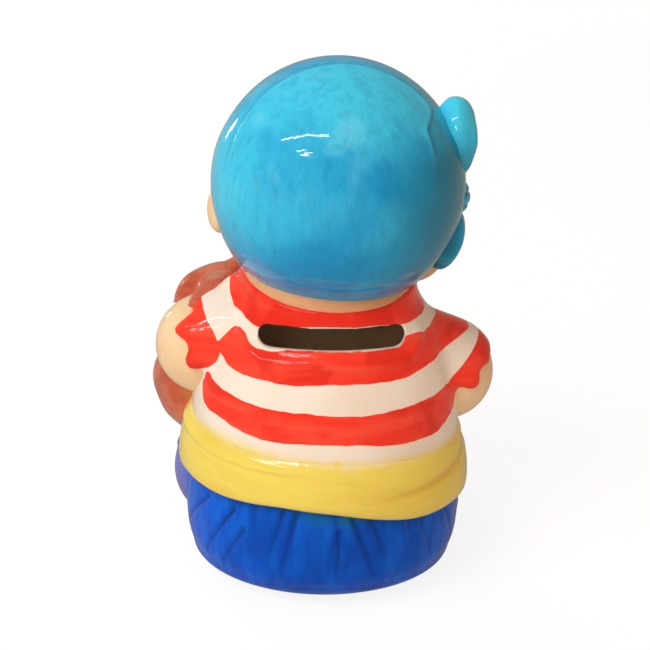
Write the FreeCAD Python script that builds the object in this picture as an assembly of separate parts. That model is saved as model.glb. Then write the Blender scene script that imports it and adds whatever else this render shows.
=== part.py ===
"""Glazed ceramic money box: a seated sailor hugging a loot sack, with a coin slot in the back.

The figure is made the way such a figure is slip-cast: hollow castings for the seat, the torso and
the head, and smaller castings luted on with slip before firing. The soft stopper in the base is the
one piece that comes off. Millimetres, +Z up. The figure faces -Y, so its own left is +X and the coin
slot looks towards +Y. The origin is the centre of the foot ring, on the surface that it stands on.
"""

import FreeCAD
import Part

import math
import os

from FreeCAD import Vector

# Casting and fit
WALL = 3.6
STOPPER_CLEARANCE = 0.06

# Seat casting: half width, half depth and height of its rings, up to the waist
FOOT_HALF_WIDTH = 30.0
FOOT_HALF_DEPTH = 24.6
HEEL_HALF_WIDTH = 35.4
HEEL_HALF_DEPTH = 30.8
HEEL_Z = 2.6
HIP_HALF_WIDTH = 37.8
HIP_HALF_DEPTH = 35.8
HIP_Z = 7.8
SEAT_HALF_WIDTH = 39.2
SEAT_HALF_DEPTH = 38.6
SEAT_Z = 18.0
WAIST_HALF_WIDTH = 38.0
WAIST_HALF_DEPTH = 37.6
WAIST_Z = 31.0

# Underside of the seat: a recess inside the foot ring, and the stopper's hole in its floor
RECESS_MARGIN = 3.0
RECESS_DEPTH = 3.2
STOPPER_HOLE_RADIUS = 14.0

# Torso casting: half width, half depth and height of its rings above the waist
RIB_HALF_WIDTH = 38.0
RIB_HALF_DEPTH = 37.0
RIB_Z = 46.0
CHEST_HALF_WIDTH = 36.5
CHEST_HALF_DEPTH = 34.4
CHEST_Z = 59.0
SHOULDER_HALF_WIDTH = 32.6
SHOULDER_HALF_DEPTH = 29.8
SHOULDER_Z = 70.0
COLLAR_RADIUS = 24.5
COLLAR_Z = 83.5

# Coin slot, cut a little downwards through the back of the torso
SLOT_LENGTH = 39.6
SLOT_HEIGHT = 5.8
SLOT_Z = 77.2
SLOT_BACK_Y = 26.0
SLOT_TILT_DEG = 9.0

# Sash round the waist
SASH_RADIUS = 41.4
SASH_LOW_Z = 28.0
SASH_HIGH_Z = 45.5
SASH_EDGE = 1.0
SASH_TILT_DEG = 4.0

# Head casting and the scarf cast over its top and back
HEAD_ABOVE_COLLAR = 29.5
HEAD_SIDEWAYS = -1.8
SCARF_RADIUS = 34.3
SCARF_STEP = 0.9
SCARF_EDGE_LEAN_DEG = 48.2
SCARF_EDGE_OFFSET = -11.7
CROWN_EDGE_LEAN_DEG = 70.0
CROWN_EDGE_OFFSET = 14.5
CROWN_STEP = 0.5
NECK_BORE_RADIUS = 20.6
JAW_FORWARD = 12.0
JAW_DROP = 16.4
JAW_HALF_WIDTH = 29.5
JAW_HALF_DEPTH = 20.0
JAW_HALF_HEIGHT = 18.0

# Ear and nose, each turned and raised from the head's centre
EAR_HALF_WIDTH = 4.6
EAR_HALF_DEPTH = 5.0
EAR_HALF_HEIGHT = 7.2
EAR_TURN_DEG = -10.7
EAR_RISE_DEG = -17.2
NOSE_HALF_WIDTH = 6.0
NOSE_HALF_DEPTH = 5.6
NOSE_HALF_HEIGHT = 5.0
NOSE_RISE_DEG = -17.4

# Scarf knot at the right temple, the loop above it and the tail below it
KNOT_HALF_WIDTH = 3.6
KNOT_HALF_DEPTH = 6.0
KNOT_HALF_HEIGHT = 5.0
KNOT_RISE_DEG = -6.3
KNOT_SINK = 1.5
KNOT_OVERLAP = 2.4
LOOP_HALF_WIDTH = 7.0
LOOP_HALF_DEPTH = 9.0
LOOP_HALF_HEIGHT = 12.4
LOOP_LEAN_DEG = 5.0
TAIL_HALF_WIDTH = 4.6
TAIL_HALF_DEPTH = 6.5
TAIL_HALF_HEIGHT = 10.6
TAIL_LEAN_DEG = -14.0

# Arms: how deep they sit in the torso, and their thickness
SHOULDER_SINK = 11.6
ELBOW_SINK = 2.7
ELBOW_FORWARD = 3.0
UPPER_ARM_RADIUS = 12.8
ELBOW_RADIUS = 14.2
FOREARM_RADIUS = 10.0
WRIST_RADIUS = 7.6
HAND_RADIUS = 8.8

# Right arm, hanging a little lower, its hand on the belly: drops are below the shoulder ring
RIGHT_SHOULDER_DROP = 6.0
RIGHT_ELBOW_DROP = 13.6
RIGHT_WRIST_SIDE = 15.0
RIGHT_WRIST_FORWARD = 40.0
RIGHT_WRIST_DROP = 23.0
RIGHT_HAND_SIDE = 5.0
RIGHT_HAND_FORWARD = 46.0
RIGHT_HAND_DROP = 23.0

# Left arm, laid round the sack
LEFT_SHOULDER_DROP = 0.5
LEFT_ELBOW_DROP = 5.6
LEFT_WRIST_SIDE = 34.0
LEFT_WRIST_FORWARD = 37.0
LEFT_WRIST_DROP = 9.0
LEFT_HAND_SIDE = 26.0
LEFT_HAND_FORWARD = 46.0
LEFT_HAND_DROP = 10.0

# Torn sleeves: their cloth, and how far and which way each hem lies beyond the elbow
SLEEVE_THICKNESS = 1.2
SLEEVE_TEETH = 6
SLEEVE_TOOTH_DEPTH = 4.0
RIGHT_HEM_REACH = 3.5
RIGHT_HEM_FALL_DEG = 49.5
LEFT_HEM_REACH = 4.0
LEFT_HEM_FALL_DEG = 18.0

# Loot sack, standing on the left thigh and squeezed by the left arm
SACK_SIDE = 28.8
SACK_FORWARD = 25.0
SACK_Z = 45.6
SACK_HALF_WIDTH = 20.4
SACK_HALF_DEPTH = 21.0
SACK_HALF_HEIGHT = 19.8
SACK_TOP_SIDE = 27.6
SACK_TOP_FORWARD = 26.0
SACK_TOP_RISE = 19.9
SACK_TOP_HALF_WIDTH = 16.2
SACK_TOP_HALF_DEPTH = 15.4
SACK_TOP_HALF_HEIGHT = 13.4
SACK_GATHER_RADIUS = 11.4
SACK_NECK_SIDE = 16.5
SACK_NECK_FORWARD = 34.5
SACK_NECK_RISE = 12.0
SACK_NECK_LEAN_DEG = 12.0
SACK_NECK_RADIUS = 6.0
SACK_RUFFLE_RADIUS = 8.6
SACK_NECK_LENGTH = 11.0
SACK_TIE_RADIUS = 1.4
SACK_TIE_HEIGHT = 3.2

# Legs stretched out in front, the left one turned out a little more, and their boots
THIGH_RADIUS = 15.8
SHIN_RADIUS = 13.6
HIP_FORWARD = 10.0
ANKLE_FORWARD = 45.0
ANKLE_Z = 15.6
LEFT_HIP_SIDE = 27.2
LEFT_HIP_Z = 22.6
LEFT_ANKLE_SIDE = 28.0
RIGHT_HIP_SIDE = 22.6
RIGHT_HIP_Z = 19.0
RIGHT_ANKLE_SIDE = 25.0
BOOT_HEEL_RADIUS = 12.0
BOOT_TOE_RADIUS = 10.2
BOOT_REACH = 9.0
BOOT_RISE = 12.0
FOOT_LIFT = 1.0

# Stopper: a soft bung with a flange, hollow from the inside
STOPPER_FLANGE_RADIUS = 17.0
STOPPER_FLANGE = 2.0
STOPPER_LENGTH = 8.0
STOPPER_SKIN = 2.2
STOPPER_LEAD_IN = 1.2
STOPPER_NAIL_NOTCH = 2.6

FAR = 400.0
UP = Vector(0, 0, 1)
BACK = Vector(0, 1, 0)
LEFT, RIGHT = 1, -1
HEAD_CENTRE = Vector(HEAD_SIDEWAYS, 0, COLLAR_Z + HEAD_ABOVE_COLLAR)
FACE_RADIUS = SCARF_RADIUS - SCARF_STEP


def revolve(edges):
    """Solid of revolution about the Z axis from a closed outline in the XZ plane."""
    face = Part.Face(Part.Wire(edges))
    return face.revolve(Vector(0, 0, 0), UP, 360.0)


def line(start, end):
    return Part.LineSegment(start, end).toShape()


def outline_point(radius, height):
    return Vector(radius, 0, height)


def smooth_edge(points):
    """A smooth curve through a few points of a revolved outline."""
    curve = Part.BSplineCurve()
    curve.interpolate(points)
    return curve.toShape()


def ellipsoid(centre, half_width, half_depth, half_height, lean_deg=0.0):
    """An ellipsoid on the row axes, leaning in the XZ plane."""
    stretch = FreeCAD.Matrix()
    stretch.scale(half_width, half_depth, half_height)
    body = Part.makeSphere(1.0).transformGeometry(stretch)
    body.rotate(Vector(0, 0, 0), BACK, lean_deg)
    body.translate(centre)
    return body


def limb(start, start_radius, end, end_radius):
    """A tapered limb with round ends: two spheres and the cone that touches both."""
    axis = end - start
    length = axis.Length
    slope = math.asin((start_radius - end_radius) / length)
    rise, reach = math.sin(slope), math.cos(slope)
    low = outline_point(0, -start_radius)
    low_touch = outline_point(start_radius * reach, start_radius * rise)
    high_touch = outline_point(end_radius * reach, length + end_radius * rise)
    high = outline_point(0, length + end_radius)
    half_low = (slope - math.pi / 2) / 2
    half_high = (slope + math.pi / 2) / 2
    low_mid = outline_point(start_radius * math.cos(half_low), start_radius * math.sin(half_low))
    high_mid = outline_point(end_radius * math.cos(half_high), length + end_radius * math.sin(half_high))
    body = revolve([
        Part.Arc(low, low_mid, low_touch).toShape(),
        line(low_touch, high_touch),
        Part.Arc(high_touch, high_mid, high).toShape(),
        line(high, low),
    ])
    body.Placement = FreeCAD.Placement(start, FreeCAD.Rotation(UP, axis))
    return body


def half_space(point, normal):
    """A large block that fills the side of a plane that its normal points to."""
    block = Part.makeBox(FAR, FAR, FAR, Vector(-FAR / 2, -FAR / 2, 0))
    block.Placement = FreeCAD.Placement(point, FreeCAD.Rotation(UP, normal))
    return block


def trim(piece, *neighbours):
    """What is left of a piece outside the castings that it is luted to: its largest solid."""
    for neighbour in neighbours:
        piece = piece.cut(neighbour)
    return max(piece.Solids, key=lambda solid: solid.Volume)


def ring_solid(rings, inset=0.0):
    """A smooth solid through level ellipses: half width, half depth and height, taken in by a wall."""
    wires = []
    for half_width, half_depth, height in rings:
        stretch = FreeCAD.Matrix()
        stretch.scale(half_width - inset, half_depth - inset, 1.0)
        unit = Part.Wire([Part.Circle(Vector(0, 0, 0), UP, 1.0).toShape()])
        ring = unit.transformGeometry(stretch)
        ring.translate(Vector(0, 0, height))
        wires.append(ring)
    return Part.makeLoft(wires, True, False)


def seat_outside():
    """The trousers as a full solid, from the foot ring to the waist."""
    return ring_solid([
        (FOOT_HALF_WIDTH, FOOT_HALF_DEPTH, 0.0),
        (HEEL_HALF_WIDTH, HEEL_HALF_DEPTH, HEEL_Z),
        (HIP_HALF_WIDTH, HIP_HALF_DEPTH, HIP_Z),
        (SEAT_HALF_WIDTH, SEAT_HALF_DEPTH, SEAT_Z),
        (WAIST_HALF_WIDTH, WAIST_HALF_DEPTH, WAIST_Z),
    ])


def seat_shell():
    """The seat with its hollow, the recess inside its foot ring and the stopper's hole."""
    floor_top = RECESS_DEPTH + WALL
    hollow = ring_solid([
        (HEEL_HALF_WIDTH, HEEL_HALF_DEPTH, floor_top),
        (SEAT_HALF_WIDTH, SEAT_HALF_DEPTH, SEAT_Z),
        (WAIST_HALF_WIDTH, WAIST_HALF_DEPTH, WAIST_Z),
    ], WALL)
    recess = Part.makeCylinder(STOPPER_FLANGE_RADIUS + RECESS_MARGIN, RECESS_DEPTH)
    hole = Part.makeCylinder(STOPPER_HOLE_RADIUS, floor_top)
    return trim(seat_outside(), hollow, recess, hole)


def torso_solid(inset=0.0):
    """The shirt as a full solid from the waist to the collar."""
    return ring_solid([
        (WAIST_HALF_WIDTH, WAIST_HALF_DEPTH, WAIST_Z),
        (RIB_HALF_WIDTH, RIB_HALF_DEPTH, RIB_Z),
        (CHEST_HALF_WIDTH, CHEST_HALF_DEPTH, CHEST_Z),
        (SHOULDER_HALF_WIDTH, SHOULDER_HALF_DEPTH, SHOULDER_Z),
        (COLLAR_RADIUS, COLLAR_RADIUS, COLLAR_Z),
    ], inset)


def slot_cutter():
    """A flat bar with round ends, along the coin's way in."""
    start, length = -SLOT_BACK_Y / 2, 2 * SLOT_BACK_Y
    flat = SLOT_LENGTH - SLOT_HEIGHT
    bar = Part.makeBox(flat, length, SLOT_HEIGHT, Vector(-flat / 2, start, -SLOT_HEIGHT / 2))
    for side in (-1, 1):
        bar = bar.fuse(Part.makeCylinder(SLOT_HEIGHT / 2, length, Vector(side * flat / 2, start, 0), BACK))
    bar.rotate(Vector(0, 0, 0), Vector(1, 0, 0), SLOT_TILT_DEG)
    bar.translate(Vector(0, SLOT_BACK_Y, SLOT_Z))
    return bar.removeSplitter()


def torso_shell():
    """The torso with its hollow, open at the waist and at the neck, and the coin slot."""
    return trim(torso_solid(), torso_solid(WALL), slot_cutter())


def sash(neighbours):
    """A rolled cloth band round the waist, with blunt edges, slung lower on the right hip."""
    low, high = outline_point(0, SASH_LOW_Z), outline_point(0, SASH_HIGH_Z)
    middle_z = (SASH_LOW_Z + SASH_HIGH_Z) / 2
    profile = [
        outline_point(SEAT_HALF_WIDTH + SASH_EDGE, SASH_LOW_Z),
        outline_point(SASH_RADIUS, (SASH_LOW_Z + middle_z) / 2),
        outline_point(SASH_RADIUS, middle_z),
        outline_point(RIB_HALF_WIDTH + SASH_EDGE, SASH_HIGH_Z),
    ]
    band = revolve([line(low, profile[0]), smooth_edge(profile), line(profile[-1], high), line(high, low)])
    band.rotate(outline_point(0, middle_z), BACK, -SASH_TILT_DEG)
    return trim(band, *neighbours)


def scarf_plane(lean_deg, offset):
    """A plane across the head that leans back from upright, as a point and a normal."""
    lean = math.radians(lean_deg)
    normal = Vector(0, math.sin(lean), math.cos(lean))
    return HEAD_CENTRE + normal * offset, normal


def head_ball(radius):
    return Part.makeSphere(radius, HEAD_CENTRE)


def on_head(radius, turn_deg, rise_deg):
    """A point on the head: turned from the figure's left towards its back, and raised."""
    turn, rise = math.radians(turn_deg), math.radians(rise_deg)
    way = Vector(math.cos(turn) * math.cos(rise), math.sin(turn) * math.cos(rise), math.sin(rise))
    return HEAD_CENTRE + way * radius


def head_hollow():
    """The inside of the head and its way down through the neck."""
    neck_bore = Part.makeCylinder(NECK_BORE_RADIUS, HEAD_CENTRE.z, Vector(0, 0, 0))
    return head_ball(SCARF_RADIUS - WALL).fuse(neck_bore)


def scarf_outside():
    """Everything under the scarf, behind and above its front edge, as a full solid."""
    behind = half_space(*scarf_plane(SCARF_EDGE_LEAN_DEG, SCARF_EDGE_OFFSET))
    return head_ball(SCARF_RADIUS).common(behind).cut(torso_solid())


def scarf_crown():
    """The round back of the scarf."""
    crown = scarf_outside().common(half_space(*scarf_plane(CROWN_EDGE_LEAN_DEG, CROWN_EDGE_OFFSET)))
    return trim(crown, head_hollow())


def scarf_band():
    """The folded band of the scarf, between its crown and its front edge."""
    band = scarf_outside().common(head_ball(SCARF_RADIUS - CROWN_STEP))
    crown_space = half_space(*scarf_plane(CROWN_EDGE_LEAN_DEG, CROWN_EDGE_OFFSET))
    return trim(band, crown_space, head_hollow())


def face_outside():
    """The face, its jaw and the neck as a full solid, clear of the scarf and of the collar."""
    jaw_centre = HEAD_CENTRE - Vector(0, JAW_FORWARD, JAW_DROP)
    behind = half_space(*scarf_plane(SCARF_EDGE_LEAN_DEG, SCARF_EDGE_OFFSET))
    neck = Part.makeCylinder(COLLAR_RADIUS, HEAD_CENTRE.z - COLLAR_Z, Vector(0, 0, COLLAR_Z))
    jaw = ellipsoid(jaw_centre, JAW_HALF_WIDTH, JAW_HALF_DEPTH, JAW_HALF_HEIGHT)
    face = head_ball(FACE_RADIUS).fuse(jaw)
    return face.cut(behind).fuse(neck).cut(scarf_outside()).cut(torso_solid())


def face_shell():
    """The face casting with its hollow, open below through the neck."""
    return trim(face_outside(), head_hollow())


def knot_pieces(neighbours):
    """The scarf's knot at the right temple, the loop above it and the tail below it."""
    centre = on_head(SCARF_RADIUS - KNOT_SINK, 180.0, KNOT_RISE_DEG)
    loop_in = LOOP_HALF_HEIGHT * math.sin(math.radians(LOOP_LEAN_DEG))
    loop_up = KNOT_HALF_HEIGHT + LOOP_HALF_HEIGHT - KNOT_OVERLAP
    tail_in = -TAIL_HALF_HEIGHT * math.sin(math.radians(TAIL_LEAN_DEG))
    tail_down = KNOT_HALF_HEIGHT + TAIL_HALF_HEIGHT - KNOT_OVERLAP
    knot = ellipsoid(centre, KNOT_HALF_WIDTH, KNOT_HALF_DEPTH, KNOT_HALF_HEIGHT)
    loop = ellipsoid(centre + Vector(loop_in, 0, loop_up), LOOP_HALF_WIDTH, LOOP_HALF_DEPTH,
                     LOOP_HALF_HEIGHT, LOOP_LEAN_DEG)
    tail = ellipsoid(centre + Vector(tail_in, 0, -tail_down), TAIL_HALF_WIDTH, TAIL_HALF_DEPTH,
                     TAIL_HALF_HEIGHT, TAIL_LEAN_DEG)
    return {
        "scarf_knot": trim(knot, *neighbours),
        "scarf_loop": trim(loop, knot, *neighbours),
        "scarf_tail": trim(tail, knot, *neighbours),
    }


def nose(neighbours):
    """A small round nose in the middle of the face."""
    centre = on_head(FACE_RADIUS, -90.0, NOSE_RISE_DEG)
    return trim(ellipsoid(centre, NOSE_HALF_WIDTH, NOSE_HALF_DEPTH, NOSE_HALF_HEIGHT), *neighbours)


def left_ear(neighbours):
    """The ear below the scarf's edge; the knot hides the other one."""
    centre = on_head(FACE_RADIUS, EAR_TURN_DEG, EAR_RISE_DEG)
    return trim(ellipsoid(centre, EAR_HALF_WIDTH, EAR_HALF_DEPTH, EAR_HALF_HEIGHT), *neighbours)


def hem_cutter(side, elbow, hem_reach, fall_deg):
    """The space on the shoulder's side of a torn hem: a saw-tooth edge across the arm."""
    fall = math.radians(fall_deg)
    along = Vector(side * math.cos(fall), 0, -math.sin(fall))
    across = along.cross(BACK)
    hem = elbow + along * hem_reach
    half = 2 * ELBOW_RADIUS
    step = half / SLEEVE_TEETH
    points = [hem + across * half - along * FAR, hem - across * half - along * FAR]
    for corner in range(2 * SLEEVE_TEETH + 1):
        reach = SLEEVE_TOOTH_DEPTH if corner % 2 else 0.0
        points.append(hem - across * (half - corner * step) + along * reach)
    points.append(points[0])
    face = Part.Face(Part.makePolygon(points))
    face.translate(BACK * -FAR / 2)
    return face.extrude(BACK * FAR)


def arm_points(side, shoulder_drop, elbow_drop):
    """Where the upper arm starts and ends, on either side of the torso."""
    shoulder = Vector(side * (SHOULDER_HALF_WIDTH - SHOULDER_SINK), 0, SHOULDER_Z - shoulder_drop)
    elbow = Vector(side * (CHEST_HALF_WIDTH - ELBOW_SINK), -ELBOW_FORWARD, SHOULDER_Z - elbow_drop)
    return shoulder, elbow


def arm_pieces(name, shoulder, elbow, wrist, hand, hem, neighbours):
    """One arm: its torn sleeve, the arm from shoulder to wrist, and the hand."""
    upper = limb(shoulder, UPPER_ARM_RADIUS, elbow, ELBOW_RADIUS)
    fore = limb(elbow, FOREARM_RADIUS, wrist, WRIST_RADIUS)
    palm = limb(wrist, WRIST_RADIUS, hand, HAND_RADIUS)
    cloth = limb(shoulder, UPPER_ARM_RADIUS + SLEEVE_THICKNESS, elbow, ELBOW_RADIUS + SLEEVE_THICKNESS)
    bare = upper.fuse(fore)
    return {
        f"{name}_sleeve": trim(cloth.common(hem), bare, *neighbours),
        f"{name}_arm": trim(bare, *neighbours),
        f"{name}_hand": trim(palm, bare, *neighbours),
    }


def right_arm_pieces(neighbours):
    """The right arm, its hand flat on the belly."""
    shoulder, elbow = arm_points(RIGHT, RIGHT_SHOULDER_DROP, RIGHT_ELBOW_DROP)
    wrist = Vector(RIGHT * RIGHT_WRIST_SIDE, -RIGHT_WRIST_FORWARD, SHOULDER_Z - RIGHT_WRIST_DROP)
    hand = Vector(RIGHT * RIGHT_HAND_SIDE, -RIGHT_HAND_FORWARD, SHOULDER_Z - RIGHT_HAND_DROP)
    hem = hem_cutter(RIGHT, elbow, RIGHT_HEM_REACH, RIGHT_HEM_FALL_DEG)
    return arm_pieces("right", shoulder, elbow, wrist, hand, hem, neighbours)


def left_arm_pieces(neighbours):
    """The left arm, laid round the sack."""
    shoulder, elbow = arm_points(LEFT, LEFT_SHOULDER_DROP, LEFT_ELBOW_DROP)
    wrist = Vector(LEFT * LEFT_WRIST_SIDE, -LEFT_WRIST_FORWARD, SHOULDER_Z - LEFT_WRIST_DROP)
    hand = Vector(LEFT * LEFT_HAND_SIDE, -LEFT_HAND_FORWARD, SHOULDER_Z - LEFT_HAND_DROP)
    hem = hem_cutter(LEFT, elbow, LEFT_HEM_REACH, LEFT_HEM_FALL_DEG)
    return arm_pieces("left", shoulder, elbow, wrist, hand, hem, neighbours)


def sack_pieces(neighbours):
    """The loot sack, its gathered neck and the cord round the neck."""
    belly = Vector(SACK_SIDE, -SACK_FORWARD, SACK_Z)
    shoulder = Vector(SACK_TOP_SIDE, -SACK_TOP_FORWARD, SACK_Z + SACK_TOP_RISE)
    gather = Vector(SACK_NECK_SIDE, -SACK_NECK_FORWARD, shoulder.z + SACK_NECK_RISE)
    body = ellipsoid(belly, SACK_HALF_WIDTH, SACK_HALF_DEPTH, SACK_HALF_HEIGHT)
    body = body.fuse(ellipsoid(shoulder, SACK_TOP_HALF_WIDTH, SACK_TOP_HALF_DEPTH, SACK_TOP_HALF_HEIGHT))
    body = body.fuse(limb(shoulder, SACK_GATHER_RADIUS, gather, SACK_NECK_RADIUS))
    profile = [
        outline_point(SACK_NECK_RADIUS, 0),
        outline_point(SACK_NECK_RADIUS, SACK_TIE_HEIGHT),
        outline_point(SACK_RUFFLE_RADIUS, SACK_NECK_LENGTH),
    ]
    low, high = outline_point(0, 0), outline_point(0, SACK_NECK_LENGTH)
    neck = revolve([line(low, profile[0]), smooth_edge(profile), line(profile[-1], high), line(high, low)])
    tie = Part.makeTorus(SACK_NECK_RADIUS, SACK_TIE_RADIUS, Vector(0, 0, SACK_TIE_HEIGHT))
    for piece in (neck, tie):
        piece.rotate(Vector(0, 0, 0), Vector(1, 0, 0), SACK_NECK_LEAN_DEG)
        piece.translate(gather)
    return {
        "loot_sack": trim(body, *neighbours),
        "sack_neck": trim(neck, body, *neighbours),
        "sack_tie": trim(tie, neck, body, *neighbours),
    }


def leg_pieces(name, hip, ankle, neighbours):
    """One leg of the trousers and its boot, toe up and just clear of the surface."""
    leg = limb(hip, THIGH_RADIUS, ankle, SHIN_RADIUS)
    heel = Vector(ankle.x, ankle.y - BOOT_REACH, BOOT_HEEL_RADIUS + FOOT_LIFT)
    toe = heel + Vector(0, -BOOT_REACH / 2, BOOT_RISE)
    boot = limb(heel, BOOT_HEEL_RADIUS, toe, BOOT_TOE_RADIUS)
    ground = Part.makeBox(FAR, FAR, FAR, Vector(-FAR / 2, -FAR / 2, FOOT_LIFT - FAR))
    return {
        f"{name}_leg": trim(leg, ground, *neighbours),
        f"{name}_boot": trim(boot, leg, ground, *neighbours),
    }


def both_legs(neighbours):
    """The two legs, with the left one under the sack."""
    left_hip = Vector(LEFT * LEFT_HIP_SIDE, -HIP_FORWARD, LEFT_HIP_Z)
    left_ankle = Vector(LEFT * LEFT_ANKLE_SIDE, -ANKLE_FORWARD, ANKLE_Z)
    right_hip = Vector(RIGHT * RIGHT_HIP_SIDE, -HIP_FORWARD, RIGHT_HIP_Z)
    right_ankle = Vector(RIGHT * RIGHT_ANKLE_SIDE, -ANKLE_FORWARD, ANKLE_Z)
    legs = leg_pieces("left", left_hip, left_ankle, neighbours)
    legs.update(leg_pieces("right", right_hip, right_ankle, neighbours))
    return legs


def stopper():
    """The soft bung: a flange under the floor and a hollow plug up through the hole."""
    plug_radius = STOPPER_HOLE_RADIUS - STOPPER_CLEARANCE
    flange_low, flange_high = RECESS_DEPTH - STOPPER_FLANGE, RECESS_DEPTH
    top = flange_high + STOPPER_LENGTH
    corners = [
        outline_point(0, flange_low),
        outline_point(STOPPER_FLANGE_RADIUS, flange_low),
        outline_point(STOPPER_FLANGE_RADIUS, flange_high),
        outline_point(plug_radius, flange_high),
        outline_point(plug_radius, top - STOPPER_LEAD_IN),
        outline_point(plug_radius - STOPPER_LEAD_IN, top),
        outline_point(plug_radius - STOPPER_SKIN - STOPPER_LEAD_IN, top),
        outline_point(plug_radius - STOPPER_SKIN - STOPPER_LEAD_IN, flange_high),
        outline_point(0, flange_high),
    ]
    body = revolve([line(a, b) for a, b in zip(corners, corners[1:] + corners[:1])])
    notch = Part.makeSphere(STOPPER_NAIL_NOTCH, Vector(0, STOPPER_FLANGE_RADIUS, flange_low))
    return trim(body, notch)


def build():
    """Every node of the money box, each trimmed by the castings that it is luted to."""
    body = [seat_outside(), torso_solid()]
    head = [scarf_outside(), face_outside()]
    sash_full = sash([])
    arms = right_arm_pieces(body + head)
    arms.update(left_arm_pieces(body + head))
    legs = both_legs(body + [sash_full])
    members = list(arms.values()) + list(legs.values())
    nodes = {
        "seat_shell": seat_shell(),
        "torso_shell": torso_shell(),
        "sash": sash(body + list(arms.values())),
        "scarf_crown": scarf_crown(),
        "scarf_band": scarf_band(),
        "face_shell": face_shell(),
        "left_ear": left_ear(head),
        "nose": nose(head),
        "stopper": stopper(),
    }
    return {**nodes, **knot_pieces(head), **arms, **legs, **sack_pieces(body + head + members + [sash_full])}


def main():
    os.makedirs("parts", exist_ok=True)
    for name, solid in build().items():
        print(f"{name}: {solid.Volume / 1000:.2f} cm3, valid {solid.isValid()}")
        solid.exportStep(f"parts/{name}.step")


main()
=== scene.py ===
# %% [markdown]
# # A glazed ceramic money box, seen from behind
# A seated sailor in slip-cast ceramic hugs a sack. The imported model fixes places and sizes, and this
# lesson dresses it: each casting is modelled as the potter would shape it, painted with brush and spray,
# and covered with a clear gloss glaze. Sizes are in millimetres until a piece is finished.

# %% Load the frame
import math

import bmesh
import bpy
import numpy as np
from mathutils import Matrix, Vector


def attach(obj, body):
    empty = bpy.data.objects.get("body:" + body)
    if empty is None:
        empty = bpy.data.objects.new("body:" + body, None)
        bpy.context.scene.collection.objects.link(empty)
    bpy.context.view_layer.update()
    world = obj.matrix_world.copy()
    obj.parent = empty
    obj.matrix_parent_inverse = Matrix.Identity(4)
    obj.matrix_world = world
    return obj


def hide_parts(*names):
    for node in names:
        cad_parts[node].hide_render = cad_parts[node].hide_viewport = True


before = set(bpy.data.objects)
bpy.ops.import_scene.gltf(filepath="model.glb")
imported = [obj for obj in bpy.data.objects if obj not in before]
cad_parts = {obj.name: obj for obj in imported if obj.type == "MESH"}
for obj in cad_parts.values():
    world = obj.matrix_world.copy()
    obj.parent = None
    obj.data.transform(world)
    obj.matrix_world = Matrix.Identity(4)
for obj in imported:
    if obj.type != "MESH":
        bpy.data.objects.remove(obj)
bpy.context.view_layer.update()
MM = 0.001

# %% [markdown]
# ## Soft edges
# Hardly any line on a cast figure is sharp: dents, folds and painted borders fade out over a few
# millimetres. Three curves describe them all: one through given knots, a hump and a ramp.

# %% Curves
def smooth_through(knots, places):
    """A smooth curve through (place, value) knots, read at many places."""
    at, value = np.array(knots, float).T
    slope = np.gradient(value, at)
    places = np.clip(np.asarray(places, float), at[0], at[-1])
    left = np.clip(np.searchsorted(at, places) - 1, 0, len(at) - 2)
    gap = at[left + 1] - at[left]
    t = (places - at[left]) / gap
    rise = value[left + 1] - value[left]
    bend = slope[left] * gap - rise
    bend_back = rise - slope[left + 1] * gap
    return value[left] + t * rise + t * (1 - t) * ((1 - t) * bend + t * bend_back)


def hump(offset, width, power=2):
    """1 where an offset is 0, fading out over a width. A higher power gives a flatter top."""
    return np.exp(-(offset / width) ** power)


def ramp(values, low, high):
    """0 up to low, 1 from high on, straight between. It falls where low lies above high."""
    return np.clip((values - low) / (high - low), 0, 1)


def ease(values, low, high):
    """A ramp with soft ends."""
    share = ramp(values, low, high)
    return share * share * (3 - 2 * share)


def turn_of(points):
    """The angle of points round the figure in degrees: 0 at its back, growing towards its left."""
    return np.degrees(np.arctan2(points[:, 0], points[:, 1]))


print("a hump falls to", round(float(hump(1.0, 1.0)), 2), "one width from its middle")

# %% [markdown]
# ## Clay tools
# A potter turns round forms on a lathe, rolls limbs and presses balls of clay. A spin makes the turned
# forms and the limbs, and a stretched sphere a ball. They may overlap, since slip joins them later.

# %% Turned forms, balls and limbs
UP = Vector((0, 0, 1))
WELD = 1e-4
END_POINTS = 10


def turned(bm, profile, steps=96, closed=False):
    """Spins an outline of (radius, height) points round the Z axis and returns the new vertices."""
    points = [bm.verts.new((radius, 0, height)) for radius, height in profile]
    ends = points[1:] + points[:1] if closed else points[1:]
    edges = [bm.edges.new(pair) for pair in zip(points, ends)]
    before = set(bm.verts)
    bmesh.ops.spin(bm, geom=points + edges, axis=UP, cent=(0, 0, 0), dvec=(0, 0, 0),
                   angle=2 * math.pi, steps=steps, use_merge=True)
    made = points + [v for v in bm.verts if v not in before]
    bmesh.ops.remove_doubles(bm, verts=made, dist=WELD)
    made = [v for v in made if v.is_valid]
    faces = list({face for v in made for face in v.link_faces})
    bmesh.ops.recalc_face_normals(bm, faces=faces)
    return made


def ball(bm, centre, radii, detail=4, lean_deg=0.0):
    """A ball of clay pressed to three radii, leaning in the XZ plane."""
    lean = Matrix.Rotation(math.radians(lean_deg), 4, "Y")
    place = Matrix.Translation(centre) @ lean @ Matrix.Diagonal((*radii, 1.0))
    bmesh.ops.create_icosphere(bm, subdivisions=detail, radius=1.0, matrix=place)


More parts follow.
